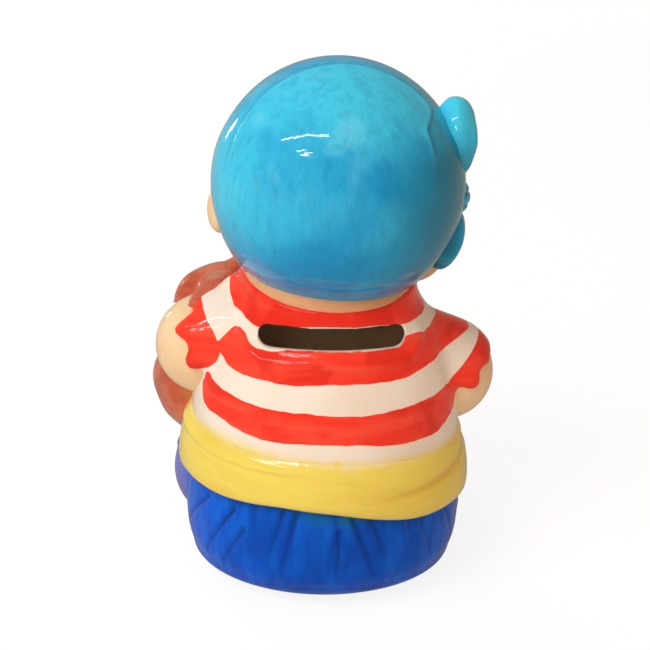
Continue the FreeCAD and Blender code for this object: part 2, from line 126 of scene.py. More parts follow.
def limb(bm, start, start_radius, end, end_radius, steps=40):
    """A rolled limb with round ends, thicker at one end than at the other."""
    start, end = Vector(start), Vector(end)
    axis = end - start
    slope = math.asin((start_radius - end_radius) / axis.length)
    low_turns = np.linspace(-math.pi / 2, slope, END_POINTS)
    high_turns = np.linspace(slope, math.pi / 2, END_POINTS)
    low = [(start_radius * math.cos(t), start_radius * math.sin(t)) for t in low_turns]
    high = [(end_radius * math.cos(t), axis.length + end_radius * math.sin(t)) for t in high_turns]
    made = turned(bm, low + high, steps)
    place = Matrix.Translation(start) @ UP.rotation_difference(axis).to_matrix().to_4x4()
    bmesh.ops.transform(bm, matrix=place, verts=made)


def rolled(bm, points, radii):
    """A roll of clay through several points: limbs end to end."""
    for i in range(len(points) - 1):
        limb(bm, points[i], radii[i], points[i + 1], radii[i + 1], 20)


print("clay tools: turned forms, balls, limbs and rolls")

# %% [markdown]
# ## Slip and knife
# Slip, the potter's thin clay, melts overlapping lumps into one skin. A voxel remesh with a little
# smoothing does the same and leaves soft inner corners. A knife is a Boolean cut, and crumbs along its
# edge are swept up so that the mesh stays clean.

# %% Lumps into objects
def clay(bm, name="clay"):
    """An object from a bmesh, still in millimetres."""
    mesh = bpy.data.meshes.new(name)
    bm.to_mesh(mesh)
    bm.free()
    obj = bpy.data.objects.new(name, mesh)
    bpy.context.scene.collection.objects.link(obj)
    return obj


def shaped(*lumps):
    """One object from several lumps. Each names a clay tool and what the tool needs."""
    bm = bmesh.new()
    for tool, *needs in lumps:
        tool(bm, *needs)
    return clay(bm)


def settle(obj):
    """Applies an object's modifiers to its mesh."""
    view = bpy.context.evaluated_depsgraph_get()
    mesh = bpy.data.meshes.new_from_object(obj.evaluated_get(view))
    obj.modifiers.clear()
    obj.data = mesh
    return obj


print("lumps become objects of", bpy.context.scene.name)

# %% Joining and cutting
CRUMB = 0.1


def sponge(obj, rounds):
    """Wipes an object smooth once its modifiers are settled."""
    wipe = obj.modifiers.new("sponge", "SMOOTH")
    wipe.factor = 0.5
    wipe.iterations = rounds
    return wipe


def slip(obj, voxel, rounds):
    """Melts overlapping lumps into one skin, then wipes it smooth."""
    remesh = obj.modifiers.new("slip", "REMESH")
    remesh.mode = "VOXEL"
    remesh.voxel_size = voxel
    sponge(obj, rounds)
    return settle(obj)


def knife(obj, cutter, operation="DIFFERENCE"):
    """Cuts an object with another closed form, which is then thrown away."""
    cut = obj.modifiers.new("knife", "BOOLEAN")
    cut.operation = operation
    cut.solver = "MANIFOLD"
    cut.object = cutter
    settle(obj)
    bpy.data.objects.remove(cutter)
    bm = bmesh.new()
    bm.from_mesh(obj.data)
    bmesh.ops.remove_doubles(bm, verts=bm.verts, dist=CRUMB)
    bmesh.ops.triangulate(bm, faces=bm.faces)
    bmesh.ops.dissolve_degenerate(bm, edges=bm.edges, dist=CRUMB)
    bm.to_mesh(obj.data)
    bm.free()
    return obj


print("slip and knife: edges shorter than", CRUMB, "mm are swept up")

# %% [markdown]
# ## Pressing and firing
# Folds and dents are pressed into a finished skin: vertices move along their normals by depths that numpy
# works out for all at once. Firing gives a piece its size in metres and its place on the CAD frame.

# %% Moving points and finishing a piece
def numbers_of(obj, kind):
    """One vector per vertex, as an array: its place (co) or its normal."""
    flat = np.empty(len(obj.data.vertices) * 3)
    obj.data.vertices.foreach_get(kind, flat)
    return flat.reshape(-1, 3)


def points_of(obj):
    return numbers_of(obj, "co")


def normals_of(obj):
    return numbers_of(obj, "normal")


def move_points(obj, points):
    obj.data.vertices.foreach_set("co", np.ascontiguousarray(points).ravel())
    obj.data.update()


def press(obj, push):
    """Moves the surface out along its normals by so many millimetres at each point."""
    move_points(obj, points_of(obj) + normals_of(obj) * push[:, None])


def keep_field(obj, name, values):
    """Stores one number per vertex, such as how far inside a painted band it lies."""
    layer = obj.data.attributes.new(name, "FLOAT", "POINT")
    layer.data.foreach_set("value", np.ascontiguousarray(values, dtype=np.float32))


def finish_piece(obj, name, material, nodes, body="figure"):
    """Fires a piece: scales it to metres, gives it its finish and its place on the CAD frame."""
    obj.name = name
    obj.data.name = name
    obj.data.transform(Matrix.Scale(MM, 4))
    obj.data.polygons.foreach_set("use_smooth", [True] * len(obj.data.polygons))
    obj.data.materials.clear()
    obj.data.materials.append(material)
    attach(obj, body)
    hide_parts(*nodes)
    triangles = sum(len(p.vertices) - 2 for p in obj.data.polygons)
    print(f"{name}: {triangles} triangles, stands for {', '.join(nodes)}")


print("pieces are fired at", MM, "metres to the unit")

# %% [markdown]
# ## Shader maths in plain Python
# A glaze is mostly arithmetic: how deep inside a band, how much spray, how streaky. Wiring Math nodes by
# hand hides that, so one class turns Python sums into nodes, and another holds a node tree.

# %% Sockets that can be added and multiplied
def sum_of(operation, swapped=False):
    """A method that joins two values in a Math node."""
    def method(self, other):
        pair = (other, self) if swapped else (self, other)
        return self.finish.add("ShaderNodeMath", {"operation": operation}, dict(enumerate(pair)))

    return method


class Level:
    """A number that varies over a surface."""

    __add__ = sum_of("ADD")
    __radd__ = sum_of("ADD", True)
    __sub__ = sum_of("SUBTRACT")
    __rsub__ = sum_of("SUBTRACT", True)
    __mul__ = sum_of("MULTIPLY")
    __rmul__ = sum_of("MULTIPLY", True)
    __truediv__ = sum_of("DIVIDE")
    least = sum_of("MINIMUM")
    most = sum_of("MAXIMUM")

    def __init__(self, finish, socket):
        self.finish = finish
        self.socket = socket

    def squared(self):
        return self * self

    def step(self, low, high):
        """0 below low, 1 above high, smooth between."""
        return self.finish.add("ShaderNodeMapRange", {"interpolation_type": "SMOOTHSTEP"},
                               {"Value": self, "From Min": low, "From Max": high})


print("levels can be added, multiplied, compared and stepped")


# %% A tree of nodes
class Finish:
    """The nodes of one material or world."""

    def __init__(self, name, owner=None):
        self.owner = owner or bpy.data.materials.new(name)
        self.owner.use_nodes = True
        self.tree = self.owner.node_tree
        self.tree.nodes.clear()

    def add(self, kind, settings=None, inputs=None, output=0):
        """One node: its settings first, then the values or links of its sockets."""
        node = self.tree.nodes.new(kind)
        for key, value in (settings or {}).items():
            setattr(node, key, value)
        for key, value in (inputs or {}).items():
            if isinstance(value, Level):
                self.tree.links.new(value.socket, node.inputs[key])
            else:
                node.inputs[key].default_value = value
        return Level(self, node.outputs[output]) if node.outputs else node

    def place(self):
        """Where a point lies on the figure, in metres."""
        return self.add("ShaderNodeTexCoord", output="Object")

    def stretch(self, factors):
        return self.add("ShaderNodeVectorMath", {"operation": "MULTIPLY"}, {0: self.place(), 1: factors})

    def axes(self):
        """The three coordinates, in millimetres."""
        scaled = self.stretch((1 / MM, 1 / MM, 1 / MM))
        split = self.add("ShaderNodeSeparateXYZ", {}, {0: scaled}).socket.node
        return [Level(self, socket) for socket in split.outputs]

    def cloud(self, grain_mm, detail=3.0, warp=0.0, stretch=(1, 1, 1)):
        """Noise between 0 and 1 with grains of this size, drawn out where a factor is small."""
        where = self.stretch(stretch)
        return self.add("ShaderNodeTexNoise", {}, {
            "Vector": where, "Scale": 1 / (grain_mm * MM), "Detail": detail, "Distortion": warp,
        })

    def wander(self, grain_mm, width, detail=3.0):
        """Noise round 0 that makes an edge wander over so many millimetres."""
        return (self.cloud(grain_mm, detail) - 0.5) * width

    def field(self, name):
        """A number stored on the piece's vertices."""
        return self.add("ShaderNodeAttribute", {"attribute_name": name}, output="Fac")

    def mix(self, factor, first, second):
        """A colour between two colours."""
        return self.add("ShaderNodeMix", {"data_type": "RGBA"}, {0: factor, 6: first, 7: second}, output=2)

    def coats(self, paint, *layers):
        """Lays masked colours over a paint, one after the other."""
        for mask, colour in layers:
            paint = self.mix(mask, paint, colour)
        return paint


def srgb(red, green, blue):
    """A colour written as a painter's 0 to 255 swatch, as the shader needs it."""
    shares = [c / 255 for c in (red, green, blue)]
    return (*[((c + 0.055) / 1.055) ** 2.4 if c > 0.04 else c / 12.92 for c in shares], 1.0)


print("a mid grey swatch is", round(srgb(128, 128, 128)[0], 3), "for the shader")

# %% [markdown]
# ## The glaze
# Every ceramic piece wears the same clear glaze. It is glassy, so lamps draw sharp lights on it, but it
# ran while it melted and never lies flat. A low roughness gives the gloss, and a soft bump bends the lights.

# %% A clear gloss glaze over any paint
GLAZE_IOR = 1.52
RUN_GRAIN = 9.0
PIT_GRAIN = 1.6
GLOSS_GRAIN = 14.0


def glazed(finish, paint, roughness=0.05, ripple=0.3, gloss_level=0.5):
    """Covers a painted colour with the clear glaze and returns the material."""
    height = finish.cloud(RUN_GRAIN, 2.0, 0.6) + finish.cloud(PIT_GRAIN, 1.0) * 0.06
    uneven = finish.add("ShaderNodeBump", {}, {"Strength": ripple, "Distance": 0.9 * MM, "Height": height})
    gloss = roughness + finish.cloud(GLOSS_GRAIN, 2.0) * 0.03
    shader = finish.add("ShaderNodeBsdfPrincipled", {}, {
        "Base Color": paint, "Roughness": gloss, "IOR": GLAZE_IOR, "Specular IOR Level": gloss_level,
        "Normal": uneven,
    })
    finish.add("ShaderNodeOutputMaterial", {}, {"Surface": shader})
    print(f"{finish.owner.name}: {len(finish.tree.nodes)} nodes")
    return finish.owner


# %% [markdown]
# ## Shirt colours
# The shirt is cream with brushed red bands, whose edges wander because they were laid on by hand. The
# distance to a band's edge is stored on the vertices, and the shader only sharpens it. Yellow was sprayed
# from below and fades out.

# %% Cream, red and sprayed yellow
CREAM = srgb(246, 235, 220)
CREAM_WARM = srgb(240, 225, 207)
RED = srgb(250, 54, 34)
RED_DEEP = srgb(228, 38, 22)
RED_THIN = srgb(253, 84, 62)
YELLOW = srgb(242, 219, 98)
SLOT_WALL_SHADE = srgb(128, 94, 68)
BISCUIT = srgb(251, 232, 206)
SPRAY_TOP = 45.6
SPRAY_SLANT = 0.058
DRIP_X = -1.2


def cream(finish):
    return finish.mix(finish.cloud(22.0).step(0.35, 0.7), CREAM, CREAM_WARM)


def spray_level(finish):
    """How much yellow spray lies on a point: a soft edge that slants across the waist."""
    x, y, z = finish.axes()
    drip = (1.5 - (x - DRIP_X).squared()).most(0.0) * y.step(20.0, 30.0)
    below = SPRAY_TOP + SPRAY_SLANT * x - z + drip * 0.6
    return (below + finish.wander(5.0, 2.4)).step(-2.6, 1.8)


def shirt_paint():
    """Red bands over cream, painted shade on the walls of the slot, and bare clay deeper inside."""
    finish = Finish("shirt_glaze")
    wobble = finish.wander(4.0, 0.7, 2.0) + finish.wander(0.9, 0.06)
    red = (finish.field("red") + wobble).step(-0.14, 0.14)
    brush = finish.cloud(9.0, 4.0, 0.4, (0.35, 0.35, 2.6)).step(0.35, 0.75)
    patches = finish.cloud(17.0, 2.0, 0.8).step(0.48, 0.62)
    bands = finish.coats(RED, (brush, RED_THIN), (patches * 0.75, RED_DEEP))
    depth = finish.field("depth")
    # The slot's walls get painted shade, and deeper inside lies bare biscuit clay.
    paint = finish.coats(cream(finish), (spray_level(finish), YELLOW), (red, bands),
                         (depth.step(1.7, 2.8), SLOT_WALL_SHADE), (depth.step(3.0, 3.5), BISCUIT))
    return glazed(finish, paint, gloss_level=0.38)


shirt_glaze = shirt_paint()

# %% [markdown]
# ## Torso
# The torso is one hollow casting, oval at the waist and round at the collar. A lathe can't turn an oval,
# so the form is spun round first and then squeezed from front to back, by rings of widths and depths.

# %% Ovals from rings
TORSO_RINGS = [(27.0, 37.6, 37.2), (31.0, 38.0, 37.6), (46.0, 38.0, 37.0), (59.0, 36.5, 34.4),
               (70.0, 32.6, 29.8), (83.5, 24.7, 24.7), (87.0, 24.4, 24.4), (95.0, 24.4, 24.4)]
TORSO_ROWS = 46
WALL = 3.6


def ring_sizes(rings, heights, inset=0.0):
    """Half widths and half depths at some heights, taken in by an inset."""
    at, wide, deep = np.array(rings).T
    return [smooth_through(np.array([at, size]).T, heights) - inset for size in (wide, deep)]


def oval_form(bm, rings, inset, low, high, rows=TORSO_ROWS):
    """A closed form between two heights, turned and then squeezed to ovals."""
    heights = np.linspace(low, high, rows)
    widths, depths = ring_sizes(rings, heights, inset)
    for vert in turned(bm, [(0, low), *zip(widths, heights), (0, high)], 180):
        vert.co.y *= float(np.interp(vert.co.z, heights, depths / widths))


print("torso:", len(TORSO_RINGS), "rings, walls of", WALL, "mm")

# %% [markdown]
# ## Knives for the shirt
# The collar slants up towards the chin, the sleeves are torn into points, and the coin slot was cut while
# the clay was soft. Each has its own knife: a slanting block, an outline pushed through the figure, and a
# flat bar with round ends.

# %% Collar, hem and slot
COLLAR_Z = 84.2
COLLAR_RISE = 4.6
COLLAR_TILT = 0.9
COLLAR_RADIUS = 24.5
SLOT_LENGTH = 39.6
SLOT_HEIGHT = 5.8
SLOT_CENTRE = (0, 26.0, 77.2)
SLOT_TILT = math.radians(9.0)
SLOT_FLAT = (SLOT_LENGTH - SLOT_HEIGHT) / 2
SLOT_STEPS = 12


def prism(outline, depth):
    """A cutter with an outline in the XZ plane, reaching as deep to both sides along Y."""
    bm = bmesh.new()
    points = [bm.verts.new((x, -depth, z)) for x, z in outline]
    face = bm.faces.new(points)
    pushed = bmesh.ops.extrude_face_region(bm, geom=[face])["geom"]
    verts = [v for v in pushed if isinstance(v, bmesh.types.BMVert)]
    bmesh.ops.translate(bm, vec=(0, 2 * depth, 0), verts=verts)
    bmesh.ops.recalc_face_normals(bm, faces=bm.faces)
    return clay(bm, "knife")


def collar_knife():
    """A block above the collar's slanting edge, which rises towards the chin."""
    bm = bmesh.new()
    bmesh.ops.create_cube(bm, size=80.0)
    for vert in bm.verts:
        x, y, z = vert.co
        slant = COLLAR_RISE * (1 - y / COLLAR_RADIUS) + COLLAR_TILT * x / COLLAR_RADIUS
        vert.co.z = COLLAR_Z + slant if z < 0 else 120.0
    return clay(bm, "knife")


def slot_bar():
    """A flat bar with round ends, lying along the coin's way in."""
    radius = SLOT_HEIGHT / 2
    outline = []
    for side in (1, -1):
        for i in range(SLOT_STEPS + 1):
            turn = math.pi / 2 - math.pi * i / SLOT_STEPS
            outline.append((side * (SLOT_FLAT + radius * math.cos(turn)), side * radius * math.sin(turn)))
    bar = prism(outline, 22)
    bar.data.transform(Matrix.Translation(SLOT_CENTRE) @ Matrix.Rotation(SLOT_TILT, 4, "X"))
    return bar


print("slot:", SLOT_LENGTH, "by", SLOT_HEIGHT, "mm")

# %% [markdown]
# ## Shirt and sleeves
# Limbs give the sleeves, the torn outline trims them, and slip lutes them to the torso before it is
# hollowed. The slot is cut last, and one more coat of slip sponges its edge round.

# %% Torso, sleeves and slot in one casting
LEFT_SHOULDER = (21.0, 0.0, 69.5)
LEFT_ELBOW = (33.8, -3.0, 64.4)
RIGHT_SHOULDER = (-21.0, 0.0, 64.0)
RIGHT_ELBOW = (-33.8, -3.0, 56.4)
UPPER_ARM = 12.8
ELBOW = 14.2
SLEEVE_CLOTH = 1.3
SHOULDER_BUMP = ((21.6, -2.0, 76.0), (10.5, 10.0, 10.3))
LEFT_HEM = [(0, 95), (35.4, 95), (36.2, 82), (37.0, 78.2), (38.0, 76.0), (40.6, 74.2), (43.0, 71.8),
            (41.2, 70.3), (39.9, 70.6), (38.3, 67.9), (39.2, 66.2), (39.8, 64.2), (38.6, 62.4),
            (35.0, 62.2), (31.0, 63.2), (0, 63.2)]
RIGHT_HEM = [(0, 95), (-50, 95), (-50, 66.5), (-46.8, 63.8), (-45.6, 60.9), (-43.2, 61.8), (-42.4, 59.8),
             (-43.0, 57.6), (-41.8, 55.6), (-39.2, 55.9), (-36.4, 57.1), (-33.0, 57.6), (0, 57.6)]
SLEEVES = ((LEFT_SHOULDER, LEFT_ELBOW, LEFT_HEM), (RIGHT_SHOULDER, RIGHT_ELBOW, RIGHT_HEM))


def sleeve_form(shoulder, elbow, hem):
    """One short sleeve, torn along its hem."""
    cloth = shaped((limb, shoulder, UPPER_ARM + SLEEVE_CLOTH, elbow, ELBOW + SLEEVE_CLOTH, 72))
    return knife(cloth, prism(hem, 40), "INTERSECT")


def join_clay(objects):
    """Puts several lumps into one object, ready for slip."""
    bm = bmesh.new()
    for obj in objects:
        bm.from_mesh(obj.data)
        bpy.data.objects.remove(obj)
    return clay(bm)


torso = shaped((oval_form, TORSO_RINGS, 0.0, 34.0, 93.0), (ball, *SHOULDER_BUMP))
knife(slip(torso, 0.8, 2), collar_knife())
shirt = slip(join_clay([torso] + [sleeve_form(*sleeve) for sleeve in SLEEVES]), 0.8, 6)
knife(shirt, shaped((oval_form, TORSO_RINGS, WALL, 20.0, 96.0)))
knife(shirt, slot_bar())
slip(shirt, 0.62, 4)
print("shirt and sleeves:", len(shirt.data.vertices), "vertices")

# %% [markdown]
# ## Sponging the joints
# A potter wipes the seam of a luted sleeve until it can't be seen. A vertex group weighted by the
# distance to the seam lets many rounds of smoothing work there and leaves hems and slot crisp.

# %% Smoothing where sleeves meet the torso
def torso_depth(points):
    """How deep points lie under the torso's own surface, in millimetres."""
    width, reach = ring_sizes(TORSO_RINGS, points[:, 2])
    return (1 - np.hypot(points[:, 0] / width, points[:, 1] / reach)) * width


def limb_depth(points, start, end, radius):
    """How deep points lie under a limb's surface."""
    start, end = np.array(start), np.array(end)
    along = np.clip((points - start) @ (end - start) / ((end - start) @ (end - start)), 0, 1)
    return radius - np.linalg.norm(points - start - along[:, None] * (end - start), axis=1)


def joint_nearness(points):
    """1 where a sleeve joins the torso, fading out over a few millimetres."""
    radius = ELBOW + SLEEVE_CLOTH - 0.6
    left, right = [np.abs(limb_depth(points, start, end, radius)) for start, end, hem in SLEEVES]
    return hump(np.hypot(np.minimum(left, right), torso_depth(points)), 3.4, 4)


joint = shirt.vertex_groups.new(name="joint")
for i, weight in enumerate(joint_nearness(points_of(shirt))):
    if weight > 0.01:
        joint.add([i], float(weight), "REPLACE")
sponge(shirt, 45).vertex_group = "joint"
settle(shirt)
print("joints sponged:", int((joint_nearness(points_of(shirt)) > 0.5).sum()), "vertices near a seam")

# %% [markdown]
# ## Red bands
# Two bands run round the body, and collar and cuffs are red. Their edges are knots of angle and height.
# Each vertex keeps its distance to the nearest edge, so the shader draws a clean line at any scale.

# %% Where the red bands lie
BAND_UPPER = [(-180, 68, 75), (-140, 68.5, 75), (-99, 70.4, 75.2), (-82, 70.0, 75.0), (-71, 68.4, 74.9),
              (-60, 67.5, 75.1), (-48, 67.0, 75.9), (-42, 66.5, 75.8), (-20, 66.3, 75.4), (0, 66.6, 75.2),
              (20, 65.7, 74.7), (38, 65.9, 73.0), (47, 65.8, 73.7), (55, 66.4, 75.8), (62, 67.7, 76.0),
              (66, 69.0, 74.6), (68, 70.8, 71.2), (71, 73, 69), (100, 73, 69), (106, 70, 72), (115, 68, 75),
              (180, 68, 75)]
BAND_LOWER = [(-180, 50.5, 58.5), (-115, 50.5, 58.5), (-100, 52, 57), (-92, 55.5, 54.5), (-80, 57, 53),
              (-73.5, 55.2, 54.8), (-71, 53.0, 57.0), (-66, 51.6, 59.7), (-60, 50.4, 59.6), (-51, 48.9, 59.3),
              (-39, 49.1, 59.1), (-28, 49.4, 58.9), (-15, 50.6, 58.5), (0, 51.1, 58.9), (10, 51.1, 59.2),
              (28, 50.6, 59.1), (41, 51.3, 59.5), (55, 52.8, 60.4), (65, 53.4, 61.4), (69.5, 55.0, 62.2),
              (72, 57.6, 59.5), (75, 61, 57), (105, 61, 57), (115, 50.5, 58.5), (180, 50.5, 58.5)]
COLLAR_EDGE = [(-180, 79.5), (-120, 78.6), (-85, 78.3), (-58, 78.5), (-44, 78.7), (-30, 79.8), (-10, 80.4),
               (17, 80.2), (35, 78.8), (49, 77.9), (63, 79.0), (73, 79.9), (80, 81.3), (100, 81.8),
               (140, 80.5), (180, 79.5)]
LEFT_CUFF = [(61.0, 42), (61.9, 38.5), (62.9, 35.3), (63.7, 33.5), (65.3, 31.5), (67.5, 30.3), (69.9, 30.1),
             (71.7, 30.9), (74.1, 32.2), (76.2, 33.7), (77.7, 34.4), (82.0, 35.5)]
COLLAR_WIDTH = 27.3
FAR = 50.0


def band_depth(knots, angle, height):
    """How deep a point lies inside a painted band, in millimetres."""
    low = smooth_through([(a, l) for a, l, h in knots], angle)
    high = smooth_through([(a, h) for a, l, h in knots], angle)
    return np.minimum(high - height, height - low)


def slot_distance(points):
    """How far points on the back lie from the slot's edge."""
    x, y, z = points.T
    above = z - SLOT_CENTRE[2] - (y - SLOT_CENTRE[1]) * math.tan(SLOT_TILT)
    past_end = np.maximum(np.abs(x) - SLOT_FLAT, 0)
    return np.where(y > 8, np.hypot(past_end, above) - SLOT_HEIGHT / 2, FAR)


points = points_of(shirt)
x, y, z = points.T
angle = turn_of(points)
at_slot = slot_distance(points)
depth = torso_depth(points)
left_cuff = np.minimum(x - smooth_through(LEFT_CUFF, z), z - 61.6)
right_cuff = np.minimum(-x - 32.9 - 1.12 * (z - 59.6), np.minimum(z - 54.8, -x - 31.5))
round_neck = np.where((angle > 52) & (angle < 140), COLLAR_WIDTH - np.hypot(x, y), FAR)
red = np.maximum.reduce([
    band_depth(BAND_UPPER, angle, z), band_depth(BAND_LOWER, angle, z),
    np.minimum(z - smooth_through(COLLAR_EDGE, angle), round_neck), left_cuff, right_cuff,
])
keep_field(shirt, "red", np.minimum.reduce([red, at_slot - 0.1, 1.2 - depth]))
keep_field(shirt, "depth", depth)
print("red covers", round(float((red > 0).mean()), 2), "of the shirt's vertices")

# %% [markdown]
# ## The slot's lip
# Clay pushed aside by the knife stands up as a soft lip below the slot. A remesh leaves faint terraces
# that a glossy glaze would show, so the plain parts of the torso are drawn back to the exact oval.

# %% True ovals and a swollen lip
LIP_HEIGHT = 0.95
LIP_PLACE = 3.8
LIP_WIDTH = 1.9
below = np.clip((SLOT_CENTRE[2] + 1.5 - z) / 3.0, 0.15, 1)
lip = LIP_HEIGHT * hump(at_slot - LIP_PLACE, LIP_WIDTH) * below * (depth < 1.0) * (y > 8)
true = hump(depth, 0.4) * ramp(at_slot, 0.8, 2.3) * (z < 82.0)
true *= np.clip(1 - 3 * joint_nearness(points), 0, 1)
drawn = points.copy()
drawn[:, :2] *= (1 + true * depth / np.hypot(x, y))[:, None]
move_points(shirt, drawn + normals_of(shirt) * lip[:, None])
finish_piece(shirt, "shirt", shirt_glaze, ["torso_shell", "left_sleeve", "right_sleeve"])

# %% [markdown]
# ## Trouser colours
# The trousers are brushed with cobalt. Streaks run down the cloth, creases are darker from pooled paint and
# painted shade, some of the sash's yellow ran into the blue, and the foot ring is bare, since glaze would
# stick to the kiln shelf.

# %% Cobalt blue
BLUE = srgb(4, 86, 208)
BLUE_LIGHT = srgb(6, 106, 230)
BLUE_DEEP_AND_SHADE = srgb(6, 50, 136)
BLUE_SHEEN = srgb(124, 126, 190)
TEAL = srgb(30, 128, 150)


def trouser_paint(name, on_seat):
    """Brushed cobalt, with creases and runs on the seat and a painted pale sheen on the left leg."""
    finish = Finish(name)
    streaks = finish.cloud(7.0, 4.0, 0.5, (2.2, 2.2, 0.5)).step(0.35, 0.72)
    clouds = finish.cloud(24.0, 2.0).step(0.45, 0.7)
    paint = finish.coats(BLUE, (streaks, BLUE_LIGHT), (clouds * 0.4, BLUE_DEEP_AND_SHADE))
    if on_seat:
        groove = (finish.field("groove") * 1.2).least(1.0)
        run = finish.field("run") * finish.cloud(5.0).step(0.3, 0.6)
        # Creases get pooled paint and painted shade in deep blue.
        paint = finish.coats(paint, (groove, BLUE_DEEP_AND_SHADE), (run * 0.8, TEAL), (finish.field("bare"), BISCUIT))
    else:
        x, y, z = finish.axes()
        # A painted sheen: the left leg's outer side is paler, standing in for a reflection.
        painted_sheen = (x + finish.wander(6.0, 6.0)).step(34.0, 42.0) * y.step(-34.0, -8.0)
        paint = finish.coats(paint, (painted_sheen * 0.85, BLUE_SHEEN))
    return glazed(finish, paint, 0.2, 0.3, 0.12)


seat_glaze = trouser_paint("trouser_glaze", True)
leg_glaze = trouser_paint("trouser_leg_glaze", False)

# %% [markdown]
# ## Seat
# The seat is a hollow casting on a foot ring. The lathe gives the thick shell, its recess and its stopper
# hole in one outline. Squeezing makes it oval, but the middle stays round, so that the stopper fits.

# %% Shell, foot ring and stopper hole
SEAT_RINGS = [(0.0, 30.0, 24.6), (0.7, 32.2, 27.0), (2.6, 35.4, 30.8), (7.8, 37.8, 35.8), (18.0, 39.2, 38.6),
              (31.0, 38.0, 37.6), (34.0, 37.4, 37.0)]
STOPPER_HOLE = 14.0
RECESS_RADIUS = 20.0
RECESS_DEPTH = 3.2
ROUND_CORE = 21.0
FLOOR = 6.8
heights = np.concatenate([np.linspace(0.25, 3.0, 8), np.linspace(3.6, 33.5, 46)])
outside = list(zip(ring_sizes(SEAT_RINGS, heights)[0], heights))
inside = [(33.8, 33.5), (34.2, 31.0), (35.4, 22.0), (35.6, 18.0), (34.6, 11.0), (31.8, 7.4), (30.4, FLOOR)]
underside = [(STOPPER_HOLE, FLOOR), (STOPPER_HOLE, RECESS_DEPTH), (RECESS_RADIUS, RECESS_DEPTH),
             (RECESS_RADIUS, 0.5), (20.5, 0.1), (21.2, 0.0), (29.2, 0.0)]
seat = shaped((turned, underside + outside + inside, 360, True))
points = points_of(seat)
wide = np.hypot(points[:, 0], points[:, 1])
oval = smooth_through([(z, d / w) for z, w, d in SEAT_RINGS], points[:, 2])
points[:, 1] *= np.where(wide > ROUND_CORE, oval, 1.0)
move_points(seat, points)
print("seat:", len(points), "vertices,", round(float(points[:, 2].max()), 1), "mm high")

# %% [markdown]
# ## Pleats
# Pleats fan out below the sash: creases pressed in with a wooden tool, each with a low fold beside it. A
# crease is a line from one angle and height to another, and its depth also feeds the paint.

# %% Creases pressed into the seat
PLEATS = [(43.5, 27.5, 60.3, 11.0, 0.55), (37.7, 22.5, 50.1, 9.5, 0.45), (32.7, 30.0, 33.2, 26.5, 0.35),
          (20.3, 31.0, 24.2, 19.5, 0.55), (14.4, 31.0, 19.3, 15.0, 0.55), (-2.9, 25.5, -2.8, 14.5, 0.5),
          (-8.6, 30.0, -18.9, 11.5, 0.6), (-16.3, 29.0, -23.0, 18.0, 0.5), (59.7, 27.5, 81.5, 13.0, 0.45),
          (-41.0, 24.0, -49.0, 12.0, 0.3), (-58.0, 24.0, -70.0, 10.0, 0.35), (-34.0, 26.0, -36.0, 20.0, 0.3),
          (6.0, 31.5, 6.5, 27.0, 0.3), (-82.0, 20.0, -96.0, 9.0, 0.35)]
PLEAT_WIDTH = 0.85
PLEAT_END = 1.6
PLEAT_DEPTH = 1.35
DEGREE = math.radians(1.0) * 38.5


def pleat_depth(points):
    """How deep each crease is pressed at each point, as an array of millimetres."""
    z = points[:, 2]
    depth = np.zeros(len(points))
    for top_angle, top, low_angle, low, deep in PLEATS:
        along = ramp(z, top, low)
        across = (turn_of(points) - (top_angle + (low_angle - top_angle) * along)) * DEGREE
        within = hump(np.maximum(z - top, low - z).clip(0), PLEAT_END)
        groove = hump(across, PLEAT_WIDTH) * (1 - 0.55 * along)
        fold = 0.45 * hump(across - 2.0 * PLEAT_WIDTH, 1.4 * PLEAT_WIDTH) * (1 - along)
        depth += PLEAT_DEPTH * deep * within * (groove - fold)
    return depth


points = points_of(seat)
wide = np.hypot(points[:, 0], points[:, 1])
outward = (points * normals_of(seat))[:, :2].sum(1) > 0
cloth = (wide > 33.5) & outward & (points[:, 2] > 2.0)
creases = np.where(cloth, pleat_depth(points), 0.0)
painted = outward & (wide > 24.0)
press(seat, -creases)
keep_field(seat, "bare", np.where(painted, ramp(points[:, 2], 1.3, 0.7), 1.0))
# The crease depth drives the creases' pooled paint and painted shade.
keep_field(seat, "groove", creases.clip(0))
keep_field(seat, "run", hump(turn_of(points) + 4, 14) * ramp(points[:, 2], 26.5, 30.5))
print("deepest crease:", round(float(creases.max()), 2), "mm")
finish_piece(seat, "trousers_seat", seat_glaze, ["seat_shell"])

# %% [markdown]
# ## Legs
# The legs are hidden in the photograph, so they are a guess: plain trouser legs with a rolled cuff.
# Whatever is luted on ends in the middle of the body's wall, so one knife trims legs, arms and sack.

# %% Legs with rolled cuffs
THIGH = 15.8
SHIN = 13.6
CUFF_LENGTH = 8.0
FOOT_LIFT = 1.0
SEAT_TOP = 31.0
SEAT_FLOOR = 2.0
LEGS = {
    "left": ((27.2, -10.0, 22.6), (28.0, -45.0, 15.6)),
    "right": ((-22.6, -10.0, 19.0), (-25.0, -45.0, 15.6)),
}


def hollow_knife():
    """The body up to the middle of its wall, torso and seat in one."""
    bm = bmesh.new()
    oval_form(bm, TORSO_RINGS, WALL / 2, SEAT_TOP, 96.0)
    oval_form(bm, SEAT_RINGS, WALL / 2, SEAT_FLOOR, SEAT_TOP, 24)
    bmesh.ops.remove_doubles(bm, verts=bm.verts, dist=WELD)
    return slip(clay(bm, "knife"), 1.2, 0)


def flat_under(obj, height):
    """Presses everything below a height flat, as clay on a board."""
    points = points_of(obj)
    points[:, 2] = np.maximum(points[:, 2], height)
    move_points(obj, points)


